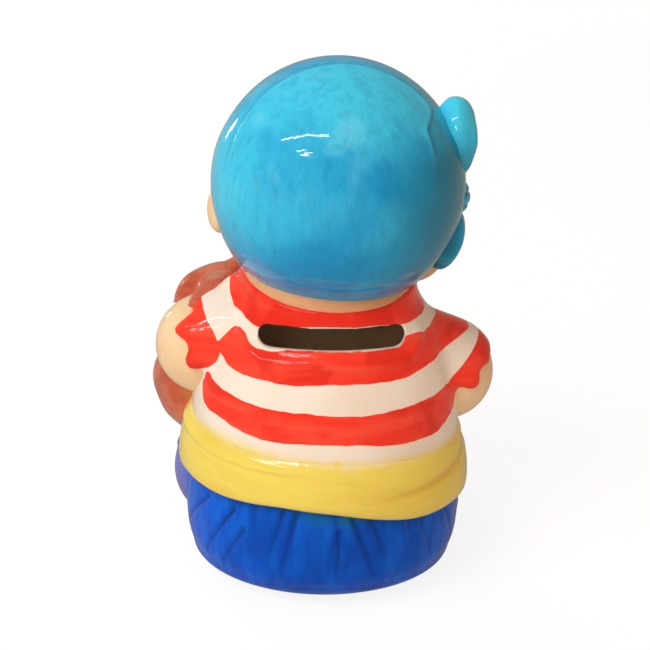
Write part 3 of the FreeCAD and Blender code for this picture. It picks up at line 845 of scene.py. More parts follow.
def trouser_leg(hip, ankle):
    """One leg: a limb and its cuff, with a crease above the cuff and folds behind the knee."""
    hip, ankle = Vector(hip), Vector(ankle)
    along = (ankle - hip).normalized()
    cuff, end = ankle + along * CUFF_LENGTH / 2, ankle + along * CUFF_LENGTH
    leg = shaped((limb, hip, THIGH, ankle, SHIN, 48), (limb, cuff, SHIN - 0.6, end, SHIN - 1.2, 48))
    slip(leg, 0.9, 5)
    points = points_of(leg)
    reach = (points - np.array(hip)) @ np.array(along)
    crease = hump(reach - (ankle - hip).length - 1.0, 1.0) * 0.9
    folds = 0.45 * np.sin(points[:, 2] * 0.9 + reach * 0.55) * hump(reach - 22, 8)
    press(leg, -(crease + folds))
    flat_under(leg, FOOT_LIFT)
    return knife(leg, hollow_knife())


for side, (hip, ankle) in LEGS.items():
    finish_piece(trouser_leg(hip, ankle), f"trouser_leg_{side}", leg_glaze, [f"{side}_leg"])

# %% [markdown]
# ## Boots
# Blunt boots close the legs, plain because they are hidden too. Two limbs melt into a shoe, and what lies
# near the front plane of the foot is swollen into a thick sole and painted dark.

# %% Shoes and soles
LEATHER = srgb(74, 44, 30)
LEATHER_LIGHT = srgb(112, 68, 44)
SOLE = srgb(38, 26, 22)
BOOT_HEEL = 12.0
BOOT_TOE = 10.2
SOLE_WAY = np.array([0, -0.94, -0.35])
WELT = 0.75


def boot_paint():
    finish = Finish("boot_glaze")
    worn = finish.cloud(6.0, 4.0, 0.6).step(0.35, 0.7)
    sole = finish.field("sole").step(0.3, 0.7)
    return glazed(finish, finish.coats(LEATHER, (worn, LEATHER_LIGHT), (sole, SOLE)), 0.08)


def boot(ankle):
    heel = Vector((ankle[0], ankle[1] - 9.0, BOOT_HEEL + FOOT_LIFT))
    toe = heel + Vector((0, -4.5, 12.0))
    back, top = heel + Vector((0, 3, 0)), heel + Vector((0, 8, 0.6))
    shoe = shaped((limb, heel, BOOT_HEEL - 0.7, toe, BOOT_TOE - 0.7, 48),
                  (limb, back, BOOT_HEEL - 1.4, top, BOOT_HEEL - 0.8, 48))
    slip(shoe, 0.8, 5)
    welt = ramp((points_of(shoe) - np.array(heel)) @ SOLE_WAY, 3.2, 4.0)
    press(shoe, WELT * welt)
    keep_field(shoe, "sole", welt)
    flat_under(shoe, FOOT_LIFT)
    return shoe


boot_glaze = boot_paint()
for side, (hip, ankle) in LEGS.items():
    finish_piece(boot(ankle), f"boot_{side}", boot_glaze, [f"{side}_boot"])

# %% [markdown]
# ## Sash
# A strip of cloth wound round the waist hides the joint of the two castings, with one soft fold across it.
# An outline is spun into a ring, and its edges then move to where the cloth ends at each turn of the body.

# %% Winding the sash
YELLOW_DEEP_AND_SHADE = srgb(228, 184, 52)
SASH_TOP = [(-180, 44.5), (-120, 43.5), (-90, 43.6), (-60, 43.7), (-31, 44.6), (0, 46.0), (36, 46.4),
            (60, 47.0), (90, 48.0), (130, 46.5), (180, 44.5)]
SASH_FOOT = [(-180, 25.0), (-120, 23.0), (-90, 23.0), (-70, 24.6), (-57, 25.6), (-46, 26.2), (-34, 27.1),
             (-22, 28.8), (-10, 30.7), (-2, 31.8), (9, 32.6), (20, 33.0), (32, 32.4), (47, 31.6), (60, 31.4),
             (75, 31.0), (90, 29.0), (120, 26.0), (180, 25.0)]
SASH_PROFILE = [(0.0, 39.4), (0.02, 40.4), (0.06, 41.0), (0.14, 41.35), (0.28, 41.4), (0.42, 41.2),
                (0.56, 40.75), (0.68, 40.3), (0.82, 39.5), (0.92, 38.7), (1.0, 37.7)]
SASH_INSIDE = 36.0
SASH_OVAL = 0.985
FOLD_DEPTH = 0.7
RIDGE_HEIGHT = 0.75


def sash_paint():
    finish = Finish("sash_glaze")
    brush = finish.cloud(8.0, 4.0, 0.5, (0.4, 0.4, 2.4)).step(0.4, 0.75)
    yellow = finish.mix(brush * 0.28, YELLOW, YELLOW_DEEP_AND_SHADE)
    # The fold's crease gets painted shade in deep yellow.
    fold = (finish.field("fold") * 0.6).least(1.0)
    paint = finish.coats(cream(finish), (spray_level(finish), yellow), (fold, YELLOW_DEEP_AND_SHADE))
    return glazed(finish, paint, 0.06)


share = np.linspace(0, 1, 40)
outside = list(zip(smooth_through(SASH_PROFILE, share), share))
sash = shaped((turned, [(SASH_INSIDE, 0.04)] + outside + [(SASH_INSIDE, 0.96)], 360, True))
points = points_of(sash)
angle = turn_of(points)
part = points[:, 2].copy()
foot = smooth_through(SASH_FOOT, angle)
points[:, 2] = foot + (smooth_through(SASH_TOP, angle) - foot) * part
fold_path = 0.34 + 0.42 * ramp(angle, -12, -82)
fold = hump(part - fold_path, 0.075) * ramp(angle, -8, -33) * ramp(angle, -150, -120)
ridge = hump(part - 0.80, 0.06) * ramp(angle, 2, 22) * ramp(angle, 110, 80)
wide = np.hypot(points[:, 0], points[:, 1])
shown = wide > SASH_INSIDE + 1.0
points[:, :2] *= (1 + shown * (RIDGE_HEIGHT * ridge - FOLD_DEPTH * fold) / wide)[:, None]
points[:, 1] *= SASH_OVAL
move_points(sash, points)
# Where the fold lies, for its painted shade.
keep_field(sash, "fold", shown * fold)
finish_piece(sash, "waist_sash", sash_paint(), ["sash"])

# %% [markdown]
# ## Skin
# The skin is pale peach with sprayed cheeks and painted shade at the neck. Eyes, brows and mouth are ovals
# and bent lines, written as sums of the coordinates: they stay sharp at any size and need no picture.

# %% Skin and a painted face
SKIN = srgb(245, 215, 172)
SKIN_WARM = srgb(236, 190, 140)
NECK_SHADE = srgb(216, 152, 106)
BLUSH = srgb(240, 142, 108)
EYE_WHITE = srgb(248, 244, 236)
IRIS = srgb(66, 44, 30)
PUPIL = srgb(16, 12, 12)
BROW = srgb(92, 56, 32)
LIPS = srgb(206, 92, 78)
HEAD = Vector((-1.8, 0.0, 113.0))
EYE_SIDE = 10.6
EYE_Z = 114.0
MOUTH_Z = 93.6
EYE_LAYERS = (
    (0.0, 0.0, (4.3, 5.4), 0.05, EYE_WHITE),
    (0.0, -0.5, (3.2, 4.2), 0.08, IRIS),
    (0.0, -0.7, (1.9, 2.6), 0.1, PUPIL),
    # The last row is a painted highlight: a small white glint in each eye.
    (-1.0, 1.4, (0.85, 1.0), 0.2, EYE_WHITE),
)
BROW_AND_LID = ((9.6, 0.045, 1.0, 30.0, 0.35), (4.9, 0.17, 6.0, 21.0, 0.4))


def skin_base(finish):
    tone = finish.cloud(16.0, 3.0, 0.5)
    return finish.mix(tone.step(0.35, 0.75) * 0.55, SKIN, SKIN_WARM)


def face_paint():
    """The face, drawn from large washes to fine lines."""
    finish = Finish("face_glaze")
    x, y, z = finish.axes()
    front = y.step(-8.0, -12.0)

    def spot(centre_x, centre_z, radii):
        """How far a point lies inside an oval: 1 at its middle, below 0 outside it."""
        away = ((x - centre_x) / radii[0]).squared() + ((z - centre_z) / radii[1]).squared()
        return (1 - away) * front + front - 1

    paint = skin_base(finish)
    # Painted shade on the neck, under the head.
    neck = (94.0 - z).step(-4.0, 9.0) * y.step(-16.0, 4.0)
    paint = finish.mix(neck * 0.85, paint, NECK_SHADE)
    for side in (-1, 1):
        cheek = spot(HEAD.x + side * 17.5, 100.5, (9.5, 8.0))
        paint = finish.mix(cheek.step(-0.6, 1.0) * 0.55, paint, BLUSH)
        eye = HEAD.x + side * EYE_SIDE
        for shift, rise, radii, blur, colour in EYE_LAYERS:
            layer = spot(eye + shift, EYE_Z + rise, radii)
            paint = finish.mix(layer.step(-blur, blur), paint, colour)
        bow = (x - eye).squared()
        for height, bend, thinness, reach, blur in BROW_AND_LID:
            off_line = z - (EYE_Z + height) + bow * bend
            line = (1 - off_line.squared() * thinness).least(1 - bow / reach).least(front * 2 - 1)
            paint = finish.mix(line.step(0.0, blur), paint, BROW)
    bow = (x - HEAD.x).squared()
    smile = z - MOUTH_Z - bow * 0.016
    mouth = (1 - bow / 52.0 - smile.squared() * 1.1).least(front * 2 - 1)
    paint = finish.mix(mouth.step(0.0, 0.3), paint, LIPS)
    return glazed(finish, paint, 0.08)


face_glaze = face_paint()

# %% [markdown]
# ## Head
# The head is a ball with a fuller jaw on a short neck. The face is unseen, so it is a plain, calm one.
# Lumps and thin rolls of clay melted together carry its relief, at the same places as the paint.

# %% Lumps and rolls of the face
FACE_RADIUS = 33.4
NECK_WIDTHS = [(80, 23.6), (83.5, 24.0), (86.5, 23.7), (90, 24.2), (96, 25.5)]
JOWLS = ((-20.6, -8.0, -22.6), (16.4, -10.0, -22.6))
JOWL_RADII = (10.6, 12.0, 8.4)
LIP_Y = -32.2
LIPS_ROLLED = (
    (0.0, 0.4, 0.016, (-6, -2, 2, 6), (0.7, 1.2, 1.2, 0.7)),
    (0.2, -1.5, 0.03, (-4.5, 0, 4.5), (0.7, 1.3, 0.7)),
)


def on_head(turn_deg, rise_deg):
    """A point on the head: turned from the figure's left towards its back, and raised."""
    turn, rise = math.radians(turn_deg), math.radians(rise_deg)
    way = Vector((math.cos(turn) * math.cos(rise), math.sin(turn) * math.cos(rise), math.sin(rise)))
    return HEAD + way * FACE_RADIUS


def front_of_face(side, height, sink):
    """A point on the front of the face at a sideways distance and a height."""
    offset = height - HEAD.z
    reach = math.sqrt(max(FACE_RADIUS ** 2 - side ** 2 - offset ** 2, 0.0)) - sink
    return Vector((HEAD.x + side, -reach, height))


bm = bmesh.new()
ball(bm, HEAD, (FACE_RADIUS,) * 3, 6)
ball(bm, HEAD - Vector((0, 12.0, 16.4)), (29.5, 20.0, 18.0), 5)
heights = np.linspace(80.0, 96.0, 12)
turned(bm, [(0, 80.0), *zip(smooth_through(NECK_WIDTHS, heights), heights), (0, 96.0)], 120)
ear = on_head(-10.7, -17.2)
ball(bm, ear, (4.4, 4.8, 7.0))
ball(bm, on_head(-90.0, -17.4), (5.8, 5.4, 4.8))
for side in (-1, 1):
    ball(bm, front_of_face(side * EYE_SIDE, EYE_Z, 1.6), (4.9, 2.6, 6.0))
    brow = [front_of_face(side * s, EYE_Z + r, 0.3) for s, r in ((5.6, 8.6), (10.6, 9.8), (15.8, 8.4))]
    rolled(bm, brow, (0.9, 1.1, 0.7))
    ball(bm, on_head(-90.0 + side * 8.0, -22.0), (3.0, 3.0, 2.6))
    ball(bm, HEAD + Vector((side * 16.5, -22.6, -13.0)), (9.5, 7.0, 8.5))
for jowl in JOWLS:
    ball(bm, HEAD + Vector(jowl), JOWL_RADII)
for back, rise, bend, sides, radii in LIPS_ROLLED:
    lip = [(HEAD.x + s, LIP_Y + back + abs(s) * 0.2, MOUTH_Z + rise + s * s * bend) for s in sides]
    rolled(bm, lip, radii)
face = slip(clay(bm), 0.75, 4)
print("face:", len(face.data.vertices), "vertices")

# %% [markdown]
# ## Ear and scarf line
# The ear's hollow is pressed in with a finger. Under the scarf, whose front edge is a slanting plane, the
# head is sunk a little, so that it can't show through the cloth.

# %% The ear's hollow, and skin under the scarf
EDGE_LEAN = math.radians(48.2)
SCARF_EDGE = np.array([0, math.sin(EDGE_LEAN), math.cos(EDGE_LEAN)])
SCARF_EDGE_OFFSET = -11.7
EAR_DEPTH = 1.1
SUNK = 2.0
ear_middle = np.array(ear + Vector((3.4, 1.6, 0.6)))
points = points_of(face)
hollow = np.exp(-(((points - ear_middle) / np.array([2.6, 2.2, 3.8])) ** 2).sum(1))
points = points - normals_of(face) * (EAR_DEPTH * hollow)[:, None]
out = points - np.array(HEAD)
far = np.linalg.norm(out, axis=1)
covered = ramp(out @ SCARF_EDGE - SCARF_EDGE_OFFSET, 2.5, 4.5) * ramp(far, 36.0, 35.0)
move_points(face, points - out * (SUNK * covered / far)[:, None])
finish_piece(face, "face", face_glaze, ["face_shell", "left_ear", "nose"])

# %% [markdown]
# ## Scarf colours
# The scarf is washed with turquoise in several coats, with dabs and strokes. Painted light brightens the
# crown and the left, and painted shade deepens it towards the neck and turns it greenish at the right. Each
# coat is a soft mask laid over the one before.

# %% Turquoise washes
SKY = srgb(18, 154, 214)
SKY_PALE_AND_LIT = srgb(70, 212, 246)
SKY_PALE = srgb(128, 218, 236)
SKY_DEEP_AND_SHADE = srgb(14, 146, 206)
SKY_GREEN_SHADE = srgb(16, 110, 118)
SKY_STROKE = srgb(8, 112, 168)
SKY_BAND = srgb(14, 112, 176)


def scarf_paint():
    finish = Finish("scarf_glaze")
    x, y, z = finish.axes()
    # Painted light on the crown and on the left side.
    top = (z - 132.0 + finish.wander(11.0, 14.0)).step(-8.0, 8.0)
    left = (x - 12.0 + finish.wander(8.0, 12.0)).step(-8.0, 20.0) * (z - 100.0).step(-10.0, 14.0)
    # Painted shade low on the head, deepening towards the neck, and in green on the right side.
    low = (104.0 - 0.33 * x - z + finish.wander(14.0, 9.0, 2.0)).step(-5.0, 6.0)
    right = (-14.0 - x + finish.wander(9.0, 8.0, 2.0)).step(-9.0, 14.0) * (134.0 - z).step(0.0, 12.0)
    right = right * (x + 36.0).step(-1.0, 3.0)
    dabs = finish.cloud(11.0, 3.0, 0.2).step(0.5, 0.8)
    dabs = dabs * (z - 112.0).step(0.0, 16.0) * (x + 10.0).step(0.0, 10.0)
    patch = 1 - ((x - 6.0).squared() / 170.0 + (z - 98.0).squared() / 90.0)
    patch = (patch + finish.wander(7.0, 1.1, 4.0)).step(-0.05, 0.3) * y.step(0.0, 10.0)
    strokes = finish.cloud(4.5, 5.0, 0.5, (1.5, 1.5, 0.42)).step(0.42, 0.72)
    weave = finish.cloud(1.1, 2.0, 0.0, (1.0, 1.0, 0.6)).step(0.42, 0.66)
    # Positive values give painted shade in green, negative ones painted light.
    painted_shade_and_light = finish.field("painted_shade_and_light")
    paint = finish.coats(
        SKY, (finish.cloud(26.0, 2.0, 0.4).step(0.42, 0.75) * 0.45, SKY_PALE_AND_LIT),
        (low * 0.5, SKY_DEEP_AND_SHADE), (top.most(left) * 0.9, SKY_PALE_AND_LIT), (right * 0.46, SKY_GREEN_SHADE),
        (dabs * 0.55, SKY_PALE), (patch * 0.32, SKY_DEEP_AND_SHADE), (strokes * 0.24, SKY_STROKE),
        (weave * 0.1, SKY_STROKE), (finish.field("fold") * 0.4, SKY_BAND),
        ((painted_shade_and_light * 0.8).least(1.0).most(0.0), SKY_GREEN_SHADE), ((painted_shade_and_light * -1.0).most(0.0), SKY_PALE_AND_LIT),
    )
    return glazed(finish, paint, 0.04, 0.11, 0.42)


scarf_glaze = scarf_paint()

# %% [markdown]
# ## Head scarf
# A cloth is tied tight over the head and knotted at the right temple. A soft crease shows where the round
# crown meets the folded band. A fine ball is pushed in and out along those lines and cut off at the front
# edge, where the cloth has a rolled hem that lifts on the right.

# %% Crown, folded band and hem
SCARF_RADIUS = 34.3
CROWN_LEAN = math.radians(70.0)
CROWN_WAY = np.array([0, math.sin(CROWN_LEAN), math.cos(CROWN_LEAN)])
CROWN_OFFSET = 16.6
PANEL_START = 6.0
PANEL_SLANT = 0.44
KNOT_WAY = np.array([-1.0, -0.05, -0.11])
RIGHT_LIFT = 0.12
LIFT_START = 8.0

scarf = shaped((ball, (0, 0, 0), (SCARF_RADIUS,) * 3, 7))
points = points_of(scarf)
x, y, z = points.T
way = points / np.linalg.norm(points, axis=1)[:, None]
panel = ease(z, 24.0, 19.5) * ease(z, -16.0, -5.0)
from_crown = points @ CROWN_WAY - CROWN_OFFSET - PANEL_SLANT * panel * (-x - PANEL_START).clip(0)
from_edge = points @ SCARF_EDGE - SCARF_EDGE_OFFSET
band = 1 / (1 + np.exp(from_crown / 0.6))
ridge = hump(from_crown - 1.1, 0.9)
crease = hump(from_crown + 0.8, 0.9)
hem = hump(from_edge - 1.2, 1.6)
to_knot = np.arccos(np.clip(way @ (KNOT_WAY / np.linalg.norm(KNOT_WAY)), -1, 1))
spoke = np.arctan2(way[:, 2] + 0.1, way[:, 1])
pull = hump(to_knot, 0.4) * (0.7 + 0.3 * np.cos(spoke * 5) ** 2)
tuck = hump(z - 14.0, 2.2) * band * hump(to_knot, 0.8, 4)
soft = np.clip(0.55 + way[:, 2] * 1.2, 0, 1) * (1 - 0.85 * panel * ease(z, 19.0, 9.0))
push = 0.35 - 0.15 * band + (0.35 * ridge - 0.4 * crease - 0.4 * band) * soft
push += 0.45 * hem + 0.5 * pull + 0.5 * tuck
# Painted shade and light: darker green along the right hem, in the crease and in the band by the knot; paler
# along the left hem and on the ridge.
painted_shade_and_light = hem * np.clip(-x / 20.0, -0.5, 0.6) + (crease - ridge) * soft * 0.3
painted_shade_and_light += 0.5 * band * hump(to_knot, 0.85, 4)
keep_field(scarf, "fold", band * ease(way[:, 2], 0.55, 0.95))
keep_field(scarf, "painted_shade_and_light", np.clip(painted_shade_and_light, -1, 1))
move_points(scarf, points + way * push[:, None])
print("scarf pushed out by up to", round(float(push.max()), 2), "mm")

# %% Cutting the scarf's front edge
bm = bmesh.new()
bm.from_mesh(scarf.data)
hinge = SCARF_EDGE * SCARF_EDGE_OFFSET
lifted_hinge = hinge - np.array([LIFT_START, 0, 0])
lifted_edge = SCARF_EDGE + np.array([RIGHT_LIFT, 0, 0])
for place, edge in ((hinge, SCARF_EDGE), (lifted_hinge, lifted_edge)):
    geometry = [*bm.verts, *bm.edges, *bm.faces]
    bmesh.ops.bisect_plane(bm, geom=geometry, plane_co=place, plane_no=edge, clear_inner=True)
bmesh.ops.holes_fill(bm, edges=[e for e in bm.edges if e.is_boundary], sides=0)
bmesh.ops.translate(bm, vec=HEAD, verts=bm.verts)
bm.to_mesh(scarf.data)
bm.free()
finish_piece(scarf, "scarf", scarf_glaze, ["scarf_crown", "scarf_band"])

# %% [markdown]
# ## Knot
# The scarf's ends leave the knot as a fat loop above and a short tail below. Each is a ball of clay whose
# dish and gathers are pressed in. The loop's vertices are first drawn towards a more angular form.

# %% Loop
KNOT = Vector((-34.4, 0.0, 109.4))
LOOP = KNOT + Vector((1.3, 0, 16.2))
LOOP_RADII = np.array([7.3, 9.0, 11.4])
LOOP_SHARPNESS = 1.5


def from_knot(obj):
    """The coordinates of an object's points, counted from the knot."""
    return (points_of(obj) - np.array(KNOT)).T


loop = shaped((ball, LOOP, LOOP_RADII, 6))
offset = points_of(loop) - np.array(LOOP)
angular = 1 / (np.abs(offset / LOOP_RADII) ** LOOP_SHARPNESS).sum(1) ** (1 / LOOP_SHARPNESS)
move_points(loop, np.array(LOOP) + offset * (1.09 * angular).clip(0.8, 1.0)[:, None])
x, y, z = from_knot(loop)
dish = np.exp(-((y / 5.0) ** 2 + ((z - 15.5) / 7.5) ** 2) ** 2) * (x < 0)
gathers = np.cos(np.arctan2(y, z + 1.0) * 14) * hump(z - 3.0, 5.0)
ridge = hump(x + 3.4 + 0.12 * (z - 15), 1.1) * ramp(y, 1.0, 4.0)
press(loop, 0.5 * ridge + 0.35 * gathers - 1.5 * dish)
# Painted shade in the dish and between the gathers, painted light on the upper loop.
keep_field(loop, "painted_shade_and_light", 0.3 * dish + 0.5 * (-gathers).clip(0, 1) - np.clip((z - 10.0) / 14.0, 0.0, 0.9))
finish_piece(loop, "knot_loop", scarf_glaze, ["scarf_loop"])

# %% [markdown]
# ## Wraps and tail
# Two turns of cloth wrap the knot, and the tail hangs below it in pleats, which a wave across the surface
# gives. Hollows get painted shade in the scarf's darker green, and the rest a little painted light.

# %% Knot and tail
knot = shaped((ball, KNOT, (3.8, 6.0, 5.0), 5))
x, y, z = from_knot(knot)
wrap = hump(z - 1.4 - 0.12 * y, 0.5) + hump(z + 1.9 - 0.1 * y, 0.5)
press(knot, -0.4 * wrap)
# Painted shade in the wraps, a little painted light elsewhere.
keep_field(knot, "painted_shade_and_light", 0.8 * np.clip(wrap, 0, 1) - 0.3)
finish_piece(knot, "knot_wrap", scarf_glaze, ["scarf_knot"])

tail = shaped((ball, KNOT + Vector((2.0, 0, -12.2)), (4.3, 6.5, 8.8), 6, -16))
x, y, z = from_knot(tail)
pleat = np.cos((y + 0.15 * (z + 13)) * 1.45) * ramp(z, -5.0, -14.0)
press(tail, 0.55 * pleat)
# Painted shade between the pleats, a little painted light elsewhere.
keep_field(tail, "painted_shade_and_light", 0.6 * np.clip(-pleat, 0, 1) - 0.15)
finish_piece(tail, "knot_tail", scarf_glaze, ["scarf_tail"])

# %% [markdown]
# ## Arms and hands
# The right hand lies on the belly and the left one is spread over the sack, both hidden in front. Each arm
# is a bent limb, and each hand a palm with four fingers and a thumb rolled from clay.

# %% Two arms
FOREARM = 10.0
WRIST = 7.6
FINGER_GAP = 3.1
ARMS = {
    "left": (LEFT_SHOULDER, LEFT_ELBOW, (34.0, -37.0, 61.0), (26.0, -46.0, 60.0)),
    "right": (RIGHT_SHOULDER, RIGHT_ELBOW, (-15.0, -40.0, 47.0), (-5.0, -46.0, 47.0)),
}


def skin_paint():
    finish = Finish("skin_glaze")
    return glazed(finish, skin_base(finish), 0.08)


def arm(shoulder, elbow, wrist):
    middle = Vector(elbow).lerp(Vector(wrist), 0.45)
    limbs = shaped((limb, shoulder, UPPER_ARM, elbow, ELBOW, 64),
                   (limb, elbow, ELBOW - 1.0, middle, FOREARM - 0.4, 64),
                   (limb, elbow, FOREARM, wrist, WRIST, 64))
    return knife(slip(limbs, 0.75, 6), hollow_knife())


def hand(wrist, palm):
    """A small hand: the palm, four fingers side by side and a thumb."""
    wrist, palm = Vector(wrist), Vector(palm)
    along = (palm - wrist).normalized()
    across = along.cross(Vector((0, 1, 0))).normalized()
    bm = bmesh.new()
    limb(bm, wrist, WRIST - 0.3, palm, WRIST - 0.2, 48)
    for i in range(4):
        root = palm + across * (4.6 - FINGER_GAP * i) + Vector((0, -1.2, 0)) + along * 1.0
        tip = root + along * (5.2 if i in (1, 2) else 4.2)
        limb(bm, root - along * 2.0, 2.4, tip, 2.0, 20)
    root = palm.lerp(wrist, 0.35) + across * 5.6
    limb(bm, root, 2.6, root + along * 4.0 + across * 2.2, 2.2, 20)
    return slip(clay(bm), 0.52, 3)


skin_glaze = skin_paint()
for side, (shoulder, elbow, wrist, palm) in ARMS.items():
    finish_piece(arm(shoulder, elbow, wrist), f"arm_{side}", skin_glaze, [f"{side}_arm"])
    finish_piece(hand(wrist, palm), f"hand_{side}", skin_glaze, [f"{side}_hand"])

# %% [markdown]
# ## Sack
# A full sack bulges above and below the arm that squeezes it. Lumps and slip make the bulges, a limb beside
# the arm's place cuts the groove that it lies in, and creases fan out from the tied neck. Its brown wash
# has painted shade in the folds.

# %% Sack and brown wash
BROWN = srgb(192, 86, 58)
BROWN_LIGHT = srgb(218, 122, 92)
BROWN_DEEP_AND_SHADE = srgb(150, 62, 38)
OCHRE = srgb(230, 158, 70)
SACK_BELLY = Vector((28.8, -25.0, 45.6))
SACK_TOP = Vector((27.6, -26.0, 65.5))
SACK_NECK = Vector((16.5, -34.5, 77.5))
SHOULDER_LOBE = ((36.4, 0.4, 77.2), (32.4, -5.0, 77.8), (28.0, -17.0, 71.5))
ARM_GROOVE = Vector((3.4, -1.6, -0.4))


def sack_paint():
    finish = Finish("sack_glaze")
    wash = finish.cloud(11.0, 4.0, 0.9).step(0.34, 0.7)
    stains = finish.cloud(5.0, 4.0, 0.5).step(0.5, 0.75)
    # Painted shade in the hollows of the folds.
    fold = (finish.field("fold") * 0.8).least(1.0)
    paint = finish.coats(BROWN, (wash, BROWN_LIGHT), (stains * 0.45, BROWN_DEEP_AND_SHADE), (fold, BROWN_DEEP_AND_SHADE),
                         (finish.field("ochre") * 0.85, OCHRE))
    return glazed(finish, paint, 0.08)


sack = shaped((ball, SACK_BELLY, (20.4, 21.0, 19.8), 5), (ball, SACK_TOP, (16.2, 15.4, 13.4), 5),
              (limb, SACK_TOP, 11.4, SACK_NECK, 6.0, 48), (rolled, SHOULDER_LOBE, (2.8, 4.6, 9.0)))
elbow, wrist, palm = [Vector(point) + ARM_GROOVE for point in ARMS["left"][1:]]
groove = shaped((limb, elbow.lerp(wrist, 0.55), FOREARM - 1.8, wrist, WRIST - 0.1, 48),
                (limb, wrist, WRIST - 0.1, palm, WRIST - 0.3, 48))
knife(slip(sack, 0.85, 6), slip(groove, 0.8, 0))
knife(slip(sack, 0.75, 8), hollow_knife())
print("sack:", len(sack.data.vertices), "vertices")

# %% Folds and dents of the sack
points = points_of(sack)
x, y, z = points.T
to_neck = points - np.array(SACK_NECK)
far = np.linalg.norm(to_neck, axis=1)
spoke = np.arctan2(to_neck[:, 0] - to_neck[:, 1] * 0.3, to_neck[:, 2] - 6)
folds = np.cos(spoke * 9 + far * 0.05) * hump(far - 14, 12)
dents = np.sin(x * 0.33 + 1.0) * np.sin(y * 0.29) * np.sin(z * 0.31 + 0.6)
press(sack, 0.6 * folds + 0.5 * dents)
# Where the folds are hollow, for their painted shade.
keep_field(sack, "fold", np.clip(-folds, 0, 1) * 0.6)
keep_field(sack, "ochre", hump(x - 37.5, 3.0) * hump(z - 51.0, 6.0) * (y > -16))
sack_glaze = sack_paint()
finish_piece(sack, "sack", sack_glaze, ["loot_sack"])

# %% [markdown]
# ## Ruffle and tie
# Above the tie the cloth flares into a wavy ruffle, a turned flare bent by two waves. The tie is a moulded
# cord: short slanting limbs round a ring, melted together, look like its twisted strands.

# %% Neck of the sack
NECK_LEAN = math.radians(12.0)
RUFFLE = [(0, -3.0), (5.6, -3.0), (5.9, 0.0), (5.7, 2.4), (5.6, 3.2), (5.8, 4.0), (6.6, 6.2), (7.8, 9.0),
          (8.6, 10.9), (8.2, 11.2), (7.2, 10.0), (5.0, 7.6), (2.4, 6.6), (0, 6.4)]
on_sack = Matrix.Translation(SACK_NECK) @ Matrix.Rotation(NECK_LEAN, 4, "X")
bm = bmesh.new()
for vert in turned(bm, RUFFLE, 120):
    turn = math.atan2(vert.co.y, vert.co.x)
    wave = max(vert.co.z - 2.0, 0.0) / 9.0
    flare = 1 + 0.09 * wave * math.cos(7 * turn)
    vert.co = (vert.co.x * flare, vert.co.y * flare, vert.co.z + 0.5 * wave * math.cos(5 * turn + 1.0))
bmesh.ops.transform(bm, matrix=on_sack, verts=bm.verts)
bmesh.ops.subdivide_edges(bm, edges=bm.edges, cuts=1, use_grid_fill=True)
ruffle = clay(bm)
for name in ("fold", "ochre"):
    keep_field(ruffle, name, np.zeros(len(ruffle.data.vertices)))
finish_piece(ruffle, "sack_ruffle", sack_glaze, ["sack_neck"])

# %% Twisted tie
STRAW = srgb(214, 172, 92)
STRAW_DEEP = srgb(150, 104, 48)
CORD_RING = 6.1
CORD_RISE = 3.2
CORD_STRANDS = 22


def tie_paint():
    finish = Finish("tie_glaze")
    paint = finish.mix(finish.cloud(1.4, 3.0).step(0.35, 0.7), STRAW, STRAW_DEEP)
    return glazed(finish, paint, 0.1)


bm = bmesh.new()
for i in range(CORD_STRANDS):
    turn = 2 * math.pi * i / CORD_STRANDS
    centre = Vector((CORD_RING * math.cos(turn), CORD_RING * math.sin(turn), CORD_RISE))
    lay = Vector((-math.sin(turn), math.cos(turn), 0.8)).normalized()
    limb(bm, centre - lay, 0.75, centre + lay, 0.74, 12)
bmesh.ops.transform(bm, matrix=on_sack, verts=bm.verts)
finish_piece(slip(clay(bm), 0.28, 2), "sack_cord", tie_paint(), ["sack_tie"])

# %% [markdown]
# ## Stopper
# A soft vinyl bung closes the hole in the base, with a flange, a plug with a sealing bead, and a notch for
# a fingernail. It is matt and milky: a little subsurface light tells the vinyl from the ceramic.

# %% Soft vinyl bung
MILKY = srgb(226, 223, 210)
MILKY_WARM = srgb(208, 200, 180)
PLUG = 13.9
BUNG = [(0, 2.0), (6.0, 2.0), (7.0, 1.7), (8.0, 1.25), (15.8, 1.2), (16.6, 1.5), (17.0, 2.2), (16.6, 2.9),
        (15.8, 3.2), (PLUG - 0.3, 3.2), (PLUG - 0.3, 7.2), (PLUG, 7.8), (PLUG, 8.8), (PLUG - 0.4, 9.6),
        (12.7, 11.0), (12.2, 11.2), (11.0, 11.2), (10.6, 10.8), (10.5, 4.0), (10.0, 3.3), (9.0, 3.2),
        (0, 3.2)]
NAIL_NOTCH = 2.6


def vinyl():
    finish = Finish("stopper_vinyl")
    paint = finish.mix(finish.cloud(8.0, 3.0).step(0.35, 0.7), MILKY, MILKY_WARM)
    turn_marks = finish.add("ShaderNodeTexWave", {"wave_type": "RINGS", "rings_direction": "Z"},
                            {"Vector": finish.place(), "Scale": 320.0, "Distortion": 0.4})
    grain = finish.add("ShaderNodeBump", {}, {"Strength": 0.12, "Distance": 0.2 * MM, "Height": turn_marks})
    shader = finish.add("ShaderNodeBsdfPrincipled", {}, {
        "Base Color": paint, "Roughness": 0.42 + finish.cloud(3.0) * 0.12, "Normal": grain,
        "Subsurface Weight": 0.15, "Subsurface Radius": (0.002, 0.002, 0.0018),
    })
    finish.add("ShaderNodeOutputMaterial", {}, {"Surface": shader})
    return finish.owner


stopper = shaped((turned, BUNG, 128))
knife(stopper, shaped((ball, (0, 17.0, 1.2), (NAIL_NOTCH,) * 3)))
finish_piece(stopper, "stopper_bung", vinyl(), ["stopper"], "stopper")

# %% [markdown]
# ## Studio
# The photograph has a white ground without a horizon, but the glaze mirrors a darker room. So ground and
# sky look at which ray asks: the camera sees white, the glaze a warm grey, and a soft warm sky lights
# the figure.

